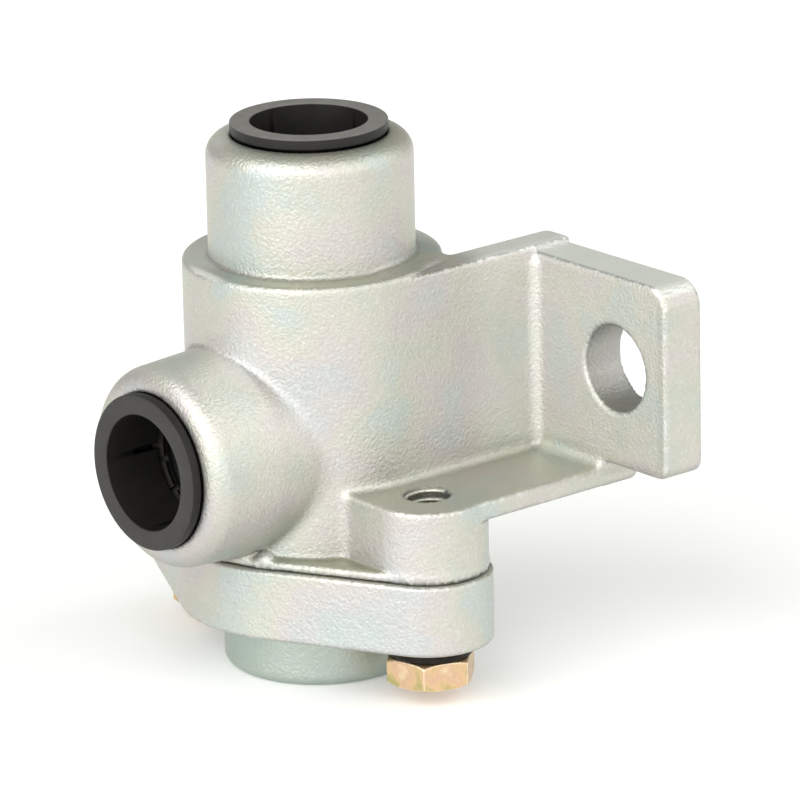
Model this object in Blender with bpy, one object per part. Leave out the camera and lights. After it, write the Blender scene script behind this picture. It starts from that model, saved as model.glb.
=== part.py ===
"""A shuttle valve for air lines, as an assembly of its real pieces.

The body is a casting with a push-to-connect port on top and one at the side, and an L-shaped bracket.
A bolted cap closes it below and holds the second inlet. Inside, a shuttle slides in a slotted guide
between a seat in the body and one in the cap.

Lengths are metres. The pieces are modelled about the valve's own axis, with z = 0 at the joint between
body and cap, and the empty valve_axis then puts the world's origin on the bracket's mounting face.
"""

import math

import bmesh
import bpy
from mathutils import Matrix, Vector

MM = 0.001

# Clearances
CLEAR = 0.3 * MM  # between pieces that rest on or beside each other
SLIDE = 0.35 * MM  # round pieces that slide in each other
REACH = 2.0 * MM  # how far a cutter runs past the face that it opens

# Body
BODY_RADIUS = 17.7 * MM
SHOULDER_HEIGHT = 39.4 * MM
SHOULDER_ROUND = 0.8 * MM
NECK_RADIUS = 14.1 * MM
NECK_TOP = 56.2 * MM
NECK_FILLET = 0.5 * MM
PORT_ROUND = 2.8 * MM
PORT_HEIGHT = 14.6 * MM
SIDE_PORT_RADIUS = 14.4 * MM
SIDE_PORT_TAPER = 0.4 * MM  # how much narrower the side port is at its mouth
SIDE_PORT_REACH = 28.4 * MM
FLANGE_RADIUS = 19.2 * MM
FLANGE_THICKNESS = 1.3 * MM
SCREW_REACH = 23.2 * MM
COLUMN_RADIUS = 8.2 * MM
CAST_ROUND = 0.6 * MM

# Bracket
SHELF_TOP = 10.2 * MM
SHELF_THICKNESS = 2.8 * MM
SHELF_REACH = 31.0 * MM
WEB_THICKNESS = 4.9 * MM
WEB_RISE = 0.8 * MM  # how far the web stands above the plate
PLATE_REACH = 31.2 * MM
PLATE_THICKNESS = 6.6 * MM
PLATE_END = 44.0 * MM
PLATE_TOP = 38.1 * MM
PLATE_BOTTOM = 11.1 * MM
PLATE_CORNER_TOP = 3.5 * MM
PLATE_CORNER_BOTTOM = 2.0 * MM
PLATE_HEEL_ROUND = 2.0 * MM
INNER_FILLET = 1.8 * MM
SHELF_FILLET = 1.3 * MM
FILLET_SINK = 0.05 * MM  # how far a fillet's edges lie in the walls that it joins
MACHINED_STEP = 0.2 * MM  # how far the mounting face stands proud of the cast web
HOLE_RADIUS = 6.0 * MM
HOLE_REACH = 33.8 * MM
HOLE_HEIGHT = 24.9 * MM
ORIGIN_REACH = 20.0 * MM  # from the valve's axis to the origin, along the mounting face

# Chamber, seats and shuttle
CHAMBER_RADIUS = 12.2 * MM
PASSAGE_RADIUS = 6.3 * MM
SEAT_WIDTH = 1.1 * MM
SEAT_HEIGHT = 0.8 * MM
LOWER_SEAT = 1.2 * MM
SPIGOT_HEIGHT = 0.7 * MM
GUIDE_RADIUS = 8.75 * MM
GUIDE_WALL = 1.15 * MM
GUIDE_RIM = 1.5 * MM
WINDOW_WIDTH = 9.0 * MM
WINDOW_HEIGHT = 5.2 * MM
SHUTTLE_TRAVEL = 6.0 * MM
SHUTTLE_LAND = 3.2 * MM
SHUTTLE_WAIST = 5.0 * MM
FACE_THICKNESS = 1.4 * MM
FACE_INSET = 0.4 * MM
STUD_RADIUS = 2.5 * MM
STUD_LENGTH = 3.2 * MM

# Push-to-connect ports, for a tube of 5/8 in
TUBE_BORE = 8.0 * MM
COLLET_WALL = 0.8 * MM
COLLET_FLANGE_RADIUS = 10.75 * MM
COLLET_FLANGE_THICKNESS = 1.5 * MM
COLLET_LENGTH = 7.0 * MM
COLLET_EDGE = 0.2 * MM
COLLET_BEAD = 0.5 * MM
COLLET_TRAVEL = 1.5 * MM
SLOT_WIDTH = 0.8 * MM
SLOT_LENGTH = 4.2 * MM
CARTRIDGE_BORE = 10.6 * MM
CARTRIDGE_DEPTH = 11.8 * MM
SLEEVE_WALL = 0.6 * MM
SLEEVE_LIP = 1.6 * MM
GRAB_THICKNESS = 0.4 * MM
GRAB_RIM = 0.95 * MM
GRAB_TIP_GAP = 0.2 * MM  # from the collet's bore to the tooth tips
GRAB_DROP = 1.0 * MM
GRAB_TEETH = 12
GRAB_SLOT = 0.7 * MM
SPACER_SEAT = 0.4 * MM
TUBE_SEAL_SECTION = 0.95 * MM
SOCKET_RADIUS = 8.3 * MM
TOP_SOCKET_DEPTH = 4.5 * MM
SIDE_SOCKET_DEPTH = 3.0 * MM

# Cap and its screws
CAP_FLANGE = 9.85 * MM
CAP_RADIUS = 19.5 * MM
CAP_LOBE_RADIUS = 8.75 * MM
CAP_ROUND = 0.5 * MM
BOSS_RADIUS = 13.4 * MM
BOSS_BOTTOM = 18.7 * MM
BOSS_ROUND = 1.4 * MM
INLET_MOUTH = 8.6 * MM
INLET_TAPER = 0.4 * MM
INLET_DEPTH = 12.0 * MM
GROOVE_RADIUS = 14.2 * MM
CAP_SEAL_SECTION = 0.7 * MM
SCREW_RADIUS = 2.85 * MM
SCREW_LENGTH = 19.05 * MM
SCREW_POINT = 0.6 * MM
HEAD_FLATS = 11.11 * MM
HEAD_HEIGHT = 3.97 * MM
HEAD_TURN = math.radians(11.6)
HEAD_CHAMFER = math.radians(30)
CLEARANCE_HOLE = 3.5 * MM
WASHER_RADIUS = 5.95 * MM
WASHER_BORE = 3.35 * MM
WASHER_THICKNESS = 1.6 * MM
WASHER_GAP = 0.8 * MM
WASHER_SLANT = math.radians(20)
SEAT_GAP = 0.2 * MM  # under the screw heads and their washers

ROUND_STEPS = 44
FINE_STEPS = 28
CORNER_STEPS = 6
FLANK_STEPS = 10
LOBE_STEPS = 12
MOUTH_STEPS = 4
FILLET_STEPS = 3
EDGE_STEPS = 2
SEAL_STEPS = 6


def clear_scene():
    for obj in list(bpy.data.objects):
        bpy.data.objects.remove(obj, do_unlink=True)


def material(name, colour, roughness, metallic):
    """A Principled material, made once for each name."""
    found = bpy.data.materials.get(name)
    if found:
        return found
    made = bpy.data.materials.new(name)
    made.use_nodes = True
    shader = made.node_tree.nodes["Principled BSDF"]
    shader.inputs["Base Color"].default_value = (*colour, 1.0)
    shader.inputs["Roughness"].default_value = roughness
    shader.inputs["Metallic"].default_value = metallic
    return made


def casting():
    return material("plated_casting", (0.66, 0.66, 0.61), 0.42, 0.85)


def black_plastic():
    return material("black_plastic", (0.035, 0.035, 0.038), 0.5, 0.0)


def yellow_zinc():
    return material("yellow_zinc", (0.72, 0.6, 0.34), 0.35, 0.9)


def black_steel():
    return material("black_steel", (0.06, 0.055, 0.05), 0.5, 0.6)


def black_rubber():
    return material("black_rubber", (0.02, 0.02, 0.02), 0.7, 0.0)


def natural_plastic():
    return material("natural_plastic", (0.75, 0.72, 0.62), 0.5, 0.0)


def aluminium():
    return material("aluminium", (0.7, 0.7, 0.72), 0.35, 1.0)


def empty(name, place, turn=(0.0, 0.0, 0.0), parent=None):
    """An axis or a centre that pieces are placed by."""
    made = bpy.data.objects.new(name, None)
    bpy.context.scene.collection.objects.link(made)
    made.location = place
    made.rotation_euler = turn
    made.parent = parent
    return made


def new_object(name, bm, parent, finish=None):
    """Turns a bmesh into an object with outward faces, shaded smooth up to its real edges."""
    bmesh.ops.recalc_face_normals(bm, faces=bm.faces)
    mesh = bpy.data.meshes.new(name)
    bm.to_mesh(mesh)
    bm.free()
    mesh.shade_smooth()
    mesh.set_sharp_from_angle(angle=math.radians(30))
    made = bpy.data.objects.new(name, mesh)
    bpy.context.scene.collection.objects.link(made)
    made.parent = parent
    if finish:
        mesh.materials.append(finish)
    return made


def helper(made):
    """Hides a shape that only cuts or joins another."""
    made.hide_render = True
    made.display_type = "WIRE"
    return made


def combine(target, operation, *tools):
    """Joins the tools to the target, or cuts them from it."""
    for tool in tools:
        modifier = target.modifiers.new(tool.name, "BOOLEAN")
        modifier.operation = operation
        modifier.solver = "EXACT"
        modifier.object = helper(tool)
    return target


def arc(centre, radius, start, end, steps=CORNER_STEPS):
    """Points along an arc, from start to end in degrees."""
    angles = [math.radians(start + (end - start) * k / steps) for k in range(steps + 1)]
    return [(centre[0] + radius * math.cos(a), centre[1] + radius * math.sin(a)) for a in angles]


def turned(profile, steps=ROUND_STEPS):
    """Spins a closed outline of (radius, height) points about Z. A flat end on the axis is one face."""
    bm = bmesh.new()
    rings = []
    for radius, height in profile:
        if radius > 0.0:
            angles = [2 * math.pi * k / steps for k in range(steps)]
            rings.append([bm.verts.new((radius * math.cos(a), radius * math.sin(a), height)) for a in angles])
    solid = len(rings) < len(profile)
    pairs = zip(rings, rings[1:]) if solid else zip(rings, rings[1:] + rings[:1])
    for ring, after in pairs:
        for k in range(steps):
            j = (k + 1) % steps
            bm.faces.new((ring[k], ring[j], after[j], after[k]))
    if solid:
        bm.faces.new(rings[0])
        bm.faces.new(rings[-1])
    return bm


def lofted(levels):
    """Skins flat outlines with equal numbers of points, given as (points, height) in order."""
    bm = bmesh.new()
    loops = [[bm.verts.new((x, y, height)) for x, y in points] for points, height in levels]
    for loop, after in zip(loops, loops[1:]):
        for k in range(len(loop)):
            j = (k + 1) % len(loop)
            bm.faces.new((loop[k], loop[j], after[j], after[k]))
    bm.faces.new(loops[0])
    bm.faces.new(loops[-1])
    return bm


def prism(points, low, high, axis="Z"):
    """Extrudes a flat outline. Along X the points are (y, z), along Y they are (z, x)."""
    bm = lofted([(points, low), (points, high)])
    if axis == "X":
        matrix = Matrix(((0, 0, 1), (1, 0, 0), (0, 1, 0))).to_4x4()
    elif axis == "Y":
        matrix = Matrix(((0, 1, 0), (0, 0, 1), (1, 0, 0))).to_4x4()
    else:
        matrix = Matrix.Identity(4)
    bm.transform(matrix)
    return bm


def cuboid(low, high):
    bm = bmesh.new()
    size = Vector(high) - Vector(low)
    middle = (Vector(high) + Vector(low)) / 2
    bmesh.ops.create_cube(bm, size=1.0, matrix=Matrix.Translation(middle) @ Matrix.Diagonal((*size, 1.0)))
    return bm


def cylinder(radius, low, high, centre=(0.0, 0.0), steps=FINE_STEPS):
    bm = turned([(0.0, low), (radius, low), (radius, high), (0.0, high)], steps)
    bm.transform(Matrix.Translation((centre[0], centre[1], 0.0)))
    return bm


def hull_outline(middle_radius, end_radius, reach):
    """Outline of a long flange: a round middle and two round ends on Y, joined by tangents."""
    lean = math.degrees(math.acos((middle_radius - end_radius) / reach))
    points = arc((0.0, 0.0), middle_radius, lean - 90, 90 - lean, FLANK_STEPS)
    points += arc((0.0, reach), end_radius, 90 - lean, 90 + lean, LOBE_STEPS)
    points += arc((0.0, 0.0), middle_radius, 90 + lean, 270 - lean, FLANK_STEPS)
    points += arc((0.0, -reach), end_radius, 270 - lean, 270 + lean, LOBE_STEPS)
    return points


def slot_outline(radius, reach):
    """Outline of two columns joined by straight walls."""
    return arc((0.0, reach), radius, 0, 180, LOBE_STEPS) + arc((0.0, -reach), radius, 180, 360, LOBE_STEPS)


def rounded_slab(outline, low, high, low_round, high_round):
    """A slab with rounded upper and lower edges. outline(inset) gives its plan, drawn in by inset."""
    levels = []
    for edge, height, sign in ((low_round, low, 1), (high_round, high, -1)):
        angles = [math.pi / 2 * k / FILLET_STEPS for k in range(FILLET_STEPS + 1)] if edge else [math.pi / 2]
        if sign < 0:
            angles.reverse()
        for angle in angles:
            inset = edge * (1 - math.sin(angle))
            levels.append((outline(inset), height + sign * edge * (1 - math.cos(angle))))
    return lofted(levels)


def fillet_outline(corner, first, second, radius, bury):
    """Plan of the metal that fills an inner corner: first and second are the signs of its open side."""
    x, y = corner
    centre = (x + first * (radius - FILLET_SINK), y + second * (radius - FILLET_SINK))
    start, end = math.degrees(math.atan2(-second, 0)), math.degrees(math.atan2(0, -first))
    if end - start > 180:
        end -= 360
    if start - end > 180:
        start -= 360
    return arc(centre, radius, start, end) + [
        (x - first * bury, centre[1]),
        (x - first * bury, y - second * bury),
        (centre[0], y - second * bury),
    ]


def body_outer(axis):
    """The turned part of the casting: the body, the shoulder and the neck."""
    profile = [(0.0, 0.0), (BODY_RADIUS, 0.0)]
    shoulder = (BODY_RADIUS - SHOULDER_ROUND, SHOULDER_HEIGHT - SHOULDER_ROUND)
    profile += arc(shoulder, SHOULDER_ROUND, 0, 90, FILLET_STEPS)
    neck = (NECK_RADIUS + NECK_FILLET, SHOULDER_HEIGHT + NECK_FILLET)
    profile += arc(neck, NECK_FILLET, 270, 180, FILLET_STEPS)
    profile += arc((NECK_RADIUS - PORT_ROUND, NECK_TOP - PORT_ROUND), PORT_ROUND, 0, 90, MOUTH_STEPS)
    profile += [(0.0, NECK_TOP)]
    shape = turned(profile)
    # A flat of the faceted cylinder, and not a corner, faces the web, which starts on it
    shape.transform(Matrix.Rotation(math.pi / ROUND_STEPS, 4, "Z"))
    return new_object("valve_body", shape, axis, casting())


def side_boss(port):
    """The round boss of the side port, from the valve's axis out to its face."""
    mouth = SIDE_PORT_RADIUS - SIDE_PORT_TAPER
    profile = [
        (0.0, -SIDE_PORT_REACH),
        (SIDE_PORT_RADIUS, -SIDE_PORT_REACH),
        (SIDE_PORT_RADIUS, BODY_RADIUS - SIDE_PORT_REACH),
    ]
    profile += arc((mouth - PORT_ROUND, -PORT_ROUND), PORT_ROUND, 0, 90, MOUTH_STEPS)
    profile += [(0.0, 0.0)]
    return new_object("side_boss", turned(profile), port)


def base_flange(axis):
    def plan(inset):
        return hull_outline(FLANGE_RADIUS - inset, COLUMN_RADIUS - inset, SCREW_REACH)

    return new_object("base_flange", rounded_slab(plan, 0.0, FLANGE_THICKNESS, 0.0, CAST_ROUND), axis)


def screw_columns(axis):
    def plan(inset):
        return slot_outline(COLUMN_RADIUS - inset, SCREW_REACH)

    return new_object("screw_columns", rounded_slab(plan, 0.0, SHELF_TOP, 0.0, CAST_ROUND), axis)


def shelf(axis):
    """The flat rib under the bracket, from the front screw column to the mounting face."""
    low, high = SHELF_TOP - SHELF_THICKNESS, SHELF_TOP
    edge = SHELF_REACH - CAST_ROUND
    far = BODY_RADIUS - WEB_THICKNESS
    outline = [(-far, low), (-far, high)]
    outline += arc((-edge, high - CAST_ROUND), CAST_ROUND, 90, 180, FILLET_STEPS)
    outline += arc((-edge, low + CAST_ROUND), CAST_ROUND, 180, 270, FILLET_STEPS)
    # It starts inside the column, and not in the plane of the column's outermost corner
    return new_object("shelf", prism(outline, -CAST_ROUND, PLATE_REACH - CAST_ROUND, "X"), axis)


def web(axis):
    """The wall that runs off the body as its tangent and carries the plate."""
    near, far = -BODY_RADIUS, WEB_THICKNESS - BODY_RADIUS
    heel = PLATE_HEEL_ROUND
    end = PLATE_REACH - MACHINED_STEP
    outline = [(0.0, far), (0.0, near), (end, near)]
    outline += arc((end - heel, far - heel), heel, 0, 90, FILLET_STEPS)
    return new_object("web", prism(outline, SHELF_TOP - SHELF_THICKNESS / 2, PLATE_TOP + WEB_RISE), axis)


def plate(axis):
    """The mounting plate, which steps down to the shelf on the body's side."""
    low = SHELF_TOP - SHELF_THICKNESS + CAST_ROUND
    heel = -BODY_RADIUS + WEB_THICKNESS - PLATE_HEEL_ROUND
    step = PLATE_BOTTOM - SHELF_TOP
    outline = [(heel, low), (heel, PLATE_TOP)]
    centre = (PLATE_CORNER_TOP - PLATE_END, PLATE_TOP - PLATE_CORNER_TOP)
    outline += arc(centre, PLATE_CORNER_TOP, 90, 180)
    centre = (PLATE_CORNER_BOTTOM - PLATE_END, PLATE_BOTTOM + PLATE_CORNER_BOTTOM)
    outline += arc(centre, PLATE_CORNER_BOTTOM, 180, 270)
    edge = CAST_ROUND / 2 - SHELF_REACH
    outline += arc((edge - step, SHELF_TOP), step, 90, 0, FILLET_STEPS)
    outline += [(edge, low)]
    return new_object("plate", prism(outline, PLATE_REACH - PLATE_THICKNESS, PLATE_REACH, "X"), axis)


def bracket_fillets(axis):
    """The inner fillets where web, plate and shelf meet."""
    bury = SHELF_THICKNESS / 2
    front = PLATE_REACH - PLATE_THICKNESS
    upright = fillet_outline((front, -BODY_RADIUS), -1, -1, INNER_FILLET, bury)
    along = fillet_outline((-BODY_RADIUS, SHELF_TOP), -1, 1, SHELF_FILLET, bury)
    across = fillet_outline((SHELF_TOP, front), 1, -1, SHELF_FILLET, bury)
    low = SHELF_TOP - bury
    start = CAST_ROUND + FILLET_SINK - SHELF_REACH
    return (
        new_object("fillet_web_plate", prism(upright, low, PLATE_TOP - CAST_ROUND / 2), axis),
        new_object("fillet_web_shelf", prism(along, COLUMN_RADIUS / 2, PLATE_REACH - bury, "X"), axis),
        new_object("fillet_plate_shelf", prism(across, start, bury - BODY_RADIUS, "Y"), axis),
    )


def chamber_cutter(axis):
    """The chamber with its upper seat, the passage above it, and the top port's tube socket and bore."""
    upper_seat = 2 * PORT_HEIGHT - LOWER_SEAT
    ceiling = upper_seat + SEAT_HEIGHT
    step = NECK_TOP - CARTRIDGE_DEPTH
    socket = step - TOP_SOCKET_DEPTH
    profile = [
        (0.0, -REACH),
        (CHAMBER_RADIUS, -REACH),
        (CHAMBER_RADIUS, ceiling),
        (PASSAGE_RADIUS + SEAT_WIDTH, ceiling),
        (PASSAGE_RADIUS + SEAT_WIDTH, upper_seat),
        (PASSAGE_RADIUS, upper_seat),
        (PASSAGE_RADIUS, socket),
        (SOCKET_RADIUS, socket),
        (SOCKET_RADIUS, step),
        (CARTRIDGE_BORE, step),
        (CARTRIDGE_BORE, NECK_TOP + REACH),
        (0.0, NECK_TOP + REACH),
    ]
    return new_object("chamber_cutter", turned(profile, FINE_STEPS), axis)


def side_cutter(port):
    """The side port's bore, its tube socket and its passage into the chamber."""
    step = -CARTRIDGE_DEPTH
    socket = step - SIDE_SOCKET_DEPTH
    inner = math.sqrt(CHAMBER_RADIUS**2 - PASSAGE_RADIUS**2) - REACH / 2 - SIDE_PORT_REACH
    profile = [
        (0.0, inner),
        (PASSAGE_RADIUS, inner),
        (PASSAGE_RADIUS, socket),
        (SOCKET_RADIUS, socket),
        (SOCKET_RADIUS, step),
        (CARTRIDGE_BORE, step),
        (CARTRIDGE_BORE, REACH),
        (0.0, REACH),
    ]
    return new_object("side_cutter", turned(profile, FINE_STEPS), port)


def hole_cutters(axis):
    """The mounting hole and the two tapped holes, one right through each screw column."""
    hole = turned(
        [
            (0.0, PLATE_REACH - PLATE_THICKNESS - REACH),
            (HOLE_RADIUS, PLATE_REACH - PLATE_THICKNESS - REACH),
            (HOLE_RADIUS, PLATE_REACH + REACH),
            (0.0, PLATE_REACH + REACH),
        ],
        FINE_STEPS,
    )
    hole.transform(Matrix.Translation((0.0, -HOLE_REACH, HOLE_HEIGHT)) @ Matrix.Rotation(math.pi / 2, 4, "Y"))
    radius = SCREW_RADIUS + CLEAR
    cutters = [new_object("mounting_hole_cutter", hole, axis)]
    for name, side in (("front", -1), ("rear", 1)):
        tapped = cylinder(radius, -REACH, SHELF_TOP + REACH, (0.0, side * SCREW_REACH), FINE_STEPS // 2)
        cutters.append(new_object(name + "_tapped_hole_cutter", tapped, axis))
    return cutters


def valve_body(axis, side_port):
    """The casting: its outer shapes joined, then the chamber, ports and holes cut."""
    body = body_outer(axis)
    combine(body, "UNION", side_boss(side_port), screw_columns(axis), base_flange(axis))
    combine(body, "UNION", shelf(axis), web(axis), plate(axis), *bracket_fillets(axis))
    combine(body, "DIFFERENCE", chamber_cutter(axis), side_cutter(side_port), *hole_cutters(axis))
    return body


def end_cap(axis):
    """The lower casting: flange, inlet boss, spigot with the lower seat, and the ring groove."""

    def plan(inset):
        return hull_outline(CAP_RADIUS - inset, CAP_LOBE_RADIUS - inset, SCREW_REACH)

    bottom = -CLEAR - CAP_FLANGE
    flange = rounded_slab(plan, bottom, -CLEAR, CAP_ROUND, 0.0)
    cap = new_object("end_cap", flange, axis, casting())
    profile = [(0.0, bottom + CAP_ROUND), (0.0, -BOSS_BOTTOM)]
    profile += arc((BOSS_RADIUS - BOSS_ROUND, BOSS_ROUND - BOSS_BOTTOM), BOSS_ROUND, 270, 360, FILLET_STEPS)
    profile += [(BOSS_RADIUS, bottom + CAP_ROUND)]
    boss = new_object("inlet_boss", turned(profile), axis)
    spigot_top = LOWER_SEAT - SEAT_HEIGHT
    spigot_radius = CHAMBER_RADIUS - CLEAR
    profile = [
        (0.0, -CLEAR - SPIGOT_HEIGHT),
        (spigot_radius, -CLEAR - SPIGOT_HEIGHT),
        (spigot_radius, spigot_top),
        (PASSAGE_RADIUS + SEAT_WIDTH, spigot_top),
        (PASSAGE_RADIUS + SEAT_WIDTH, LOWER_SEAT),
        (0.0, LOWER_SEAT),
    ]
    spigot = new_object("cap_spigot", turned(profile, FINE_STEPS), axis)
    inlet_top = INLET_DEPTH - BOSS_BOTTOM
    inner = INLET_MOUTH - INLET_TAPER
    profile = [
        (0.0, -BOSS_BOTTOM - REACH),
        (INLET_MOUTH, -BOSS_BOTTOM - REACH),
        (INLET_MOUTH, -BOSS_BOTTOM),
        (inner, inlet_top),
        (PASSAGE_RADIUS, inlet_top + inner - PASSAGE_RADIUS),
        (PASSAGE_RADIUS, LOWER_SEAT + REACH),
        (0.0, LOWER_SEAT + REACH),
    ]
    inlet = new_object("inlet_cutter", turned(profile, FINE_STEPS), axis)
    width = CAP_SEAL_SECTION + CLEAR
    depth = 2 * CAP_SEAL_SECTION + CLEAR
    profile = [
        (GROOVE_RADIUS - width, -CLEAR - depth),
        (GROOVE_RADIUS + width, -CLEAR - depth),
        (GROOVE_RADIUS + width, REACH),
        (GROOVE_RADIUS - width, REACH),
    ]
    groove = new_object("groove_cutter", turned(profile), axis)
    combine(cap, "UNION", boss, spigot)
    combine(cap, "DIFFERENCE", inlet, groove)
    for name, side in (("front", -1), ("rear", 1)):
        hole = cylinder(CLEARANCE_HOLE, bottom - REACH, REACH, (0.0, side * SCREW_REACH), FINE_STEPS // 2)
        combine(cap, "DIFFERENCE", new_object(name + "_clearance_hole_cutter", hole, axis))
    return cap


def seal_ring(name, radius, section, height, parent):
    """A round rubber ring of circular section."""
    profile = arc((radius, height), section, 0, 360 - 360 / SEAL_STEPS, SEAL_STEPS - 1)
    return new_object(name, turned(profile, FINE_STEPS), parent, black_rubber())


def shuttle_guide(axis):
    """The cage between cap and ceiling, with four windows near each end."""
    ceiling = 2 * PORT_HEIGHT - LOWER_SEAT + SEAT_HEIGHT
    low = LOWER_SEAT - SEAT_HEIGHT + CLEAR
    high = ceiling - CLEAR
    rim = CHAMBER_RADIUS - CLEAR
    wall = GUIDE_RADIUS + GUIDE_WALL
    profile = [
        (GUIDE_RADIUS, low),
        (rim, low),
        (rim, low + GUIDE_RIM),
        (wall, low + GUIDE_RIM),
        (wall, high - GUIDE_RIM),
        (rim, high - GUIDE_RIM),
        (rim, high),
        (GUIDE_RADIUS, high),
    ]
    guide = new_object("shuttle_guide", turned(profile, FINE_STEPS), axis, natural_plastic())
    half = WINDOW_WIDTH / 2
    sill = low + GUIDE_RIM + CAST_ROUND
    lintel = high - GUIDE_RIM - CAST_ROUND
    for name, base in (("lower", sill), ("upper", lintel - WINDOW_HEIGHT)):
        along = cuboid((-rim, -half, base), (rim, half, base + WINDOW_HEIGHT))
        across = cuboid((-half, -rim, base), (half, rim, base + WINDOW_HEIGHT))
        combine(guide, "DIFFERENCE", new_object(name + "_window_cutter_x", along, axis))
        combine(guide, "DIFFERENCE", new_object(name + "_window_cutter_y", across, axis))
    return guide


def shuttle(axis):
    """The shuttle at rest on the lower seat: a waisted core with a rubber disc pressed into each end."""
    low = LOWER_SEAT + CLEAR
    high = 2 * PORT_HEIGHT - LOWER_SEAT - CLEAR - SHUTTLE_TRAVEL
    core_low = low + FACE_THICKNESS + CLEAR
    core_high = high - FACE_THICKNESS - CLEAR
    land = GUIDE_RADIUS - SLIDE
    hole = STUD_RADIUS + CLEAR
    depth = STUD_LENGTH + CLEAR
    profile = [
        (0.0, core_low + depth),
        (hole, core_low + depth),
        (hole, core_low),
        (land, core_low),
        (land, core_low + SHUTTLE_LAND),
        (SHUTTLE_WAIST, core_low + SHUTTLE_LAND + (land - SHUTTLE_WAIST) / 2),
        (SHUTTLE_WAIST, core_high - SHUTTLE_LAND - (land - SHUTTLE_WAIST) / 2),
        (land, core_high - SHUTTLE_LAND),
        (land, core_high),
        (hole, core_high),
        (hole, core_high - depth),
        (0.0, core_high - depth),
    ]
    new_object("shuttle_core", turned(profile, FINE_STEPS), axis, aluminium())
    disc = land - FACE_INSET
    for name, outer, inward in (("lower", low, 1), ("upper", high, -1)):
        profile = [
            (0.0, outer),
            (disc, outer),
            (disc, outer + inward * FACE_THICKNESS),
            (STUD_RADIUS, outer + inward * FACE_THICKNESS),
            (STUD_RADIUS, outer + inward * (FACE_THICKNESS + STUD_LENGTH)),
            (0.0, outer + inward * (FACE_THICKNESS + STUD_LENGTH)),
        ]
        new_object("shuttle_face_" + name, turned(profile, FINE_STEPS), axis, black_rubber())


def release_collet(name, port):
    """The black release ring: a flange that is pressed by hand, on a slotted sleeve with a snap bead."""
    outer = TUBE_BORE + COLLET_WALL
    bead = outer + COLLET_BEAD
    top = CLEAR + COLLET_FLANGE_THICKNESS
    edge = COLLET_EDGE
    bead_top = -CLEAR - SLEEVE_LIP - COLLET_TRAVEL - CLEAR
    profile = arc((TUBE_BORE + edge, top - edge), edge, 180, 90, EDGE_STEPS)
    profile += arc((COLLET_FLANGE_RADIUS - edge, top - edge), edge, 90, 0, EDGE_STEPS)
    profile += arc((COLLET_FLANGE_RADIUS - edge, CLEAR + edge), edge, 0, -90, EDGE_STEPS)
    profile += [
        (outer, CLEAR),
        (outer, bead_top),
        (bead, bead_top - COLLET_BEAD / 2),
        (bead, bead_top - COLLET_BEAD),
        (outer, bead_top - 2 * COLLET_BEAD),
        (outer, COLLET_WALL / 2 - COLLET_LENGTH),
        (outer - COLLET_WALL / 2, -COLLET_LENGTH),
        (TUBE_BORE, -COLLET_LENGTH),
    ]
    collet = new_object(name, turned(profile, FINE_STEPS), port, black_plastic())
    half = SLOT_WIDTH / 2
    low, high = -COLLET_LENGTH - REACH, SLOT_LENGTH - COLLET_LENGTH
    reach = COLLET_FLANGE_RADIUS
    along = new_object(name + "_slot_cutter_x", cuboid((-reach, -half, low), (reach, half, high)), port)
    across = new_object(name + "_slot_cutter_y", cuboid((-half, -reach, low), (half, reach, high)), port)
    return combine(collet, "DIFFERENCE", along, across)


def cartridge_sleeve(name, port):
    """The sleeve in the casting's bore, whose lip keeps the collet's bead in."""
    outer = CARTRIDGE_BORE - CLEAR
    inner = outer - SLEEVE_WALL
    lip = TUBE_BORE + COLLET_WALL + SLIDE
    low = CLEAR - COLLET_LENGTH - CLEAR / 3
    profile = [
        (outer, -CLEAR),
        (lip, -CLEAR),
        (lip, -CLEAR - SLEEVE_LIP),
        (inner, -CLEAR - SLEEVE_LIP),
        (inner, low),
        (outer, low),
    ]
    return new_object(name, turned(profile, FINE_STEPS), port, black_plastic())


def grab_ring(name, port):
    """The toothed ring that bites the tube: a flat rim and teeth that lean inwards."""
    outer = CARTRIDGE_BORE - CLEAR
    rim = outer - GRAB_RIM
    tip = TUBE_BORE + GRAB_TIP_GAP
    top = -COLLET_LENGTH - CLEAR / 3
    profile = [
        (outer, top),
        (rim, top),
        (tip, top - GRAB_DROP),
        (tip, top - GRAB_DROP - GRAB_THICKNESS),
        (rim, top - GRAB_THICKNESS),
        (outer, top - GRAB_THICKNESS),
    ]
    ring = new_object(name, turned(profile, FINE_STEPS), port, black_steel())
    slots = bmesh.new()
    for k in range(GRAB_TEETH):
        slot = cuboid((tip - CLEAR, -GRAB_SLOT / 2, top - 2 * GRAB_DROP), (rim, GRAB_SLOT / 2, top + REACH))
        slot.transform(Matrix.Rotation(2 * math.pi * (k + 0.5) / GRAB_TEETH, 4, "Z"))
        mesh = bpy.data.meshes.new("slot")
        slot.to_mesh(mesh)
        slot.free()
        slots.from_mesh(mesh)
        bpy.data.meshes.remove(mesh)
    return combine(ring, "DIFFERENCE", new_object(name + "_slot_cutter", slots, port))


def seal_spacer(name, port):
    """The ring under the grab ring, dished so that the teeth can lean into it."""
    outer = CARTRIDGE_BORE - CLEAR
    grab_bottom = -COLLET_LENGTH - CLEAR / 3 - GRAB_THICKNESS
    top = grab_bottom - CLEAR
    low = 2 * TUBE_SEAL_SECTION + 2 * CLEAR - CARTRIDGE_DEPTH
    dish = outer - GRAB_RIM + CLEAR
    inner = TUBE_BORE + SPACER_SEAT + CLEAR / 3
    profile = [
        (outer, top),
        (dish, top),
        (inner, top - GRAB_DROP - CLEAR / 3),
        (inner, low),
        (outer, low),
    ]
    return new_object(name, turned(profile, FINE_STEPS), port, black_plastic())


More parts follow.
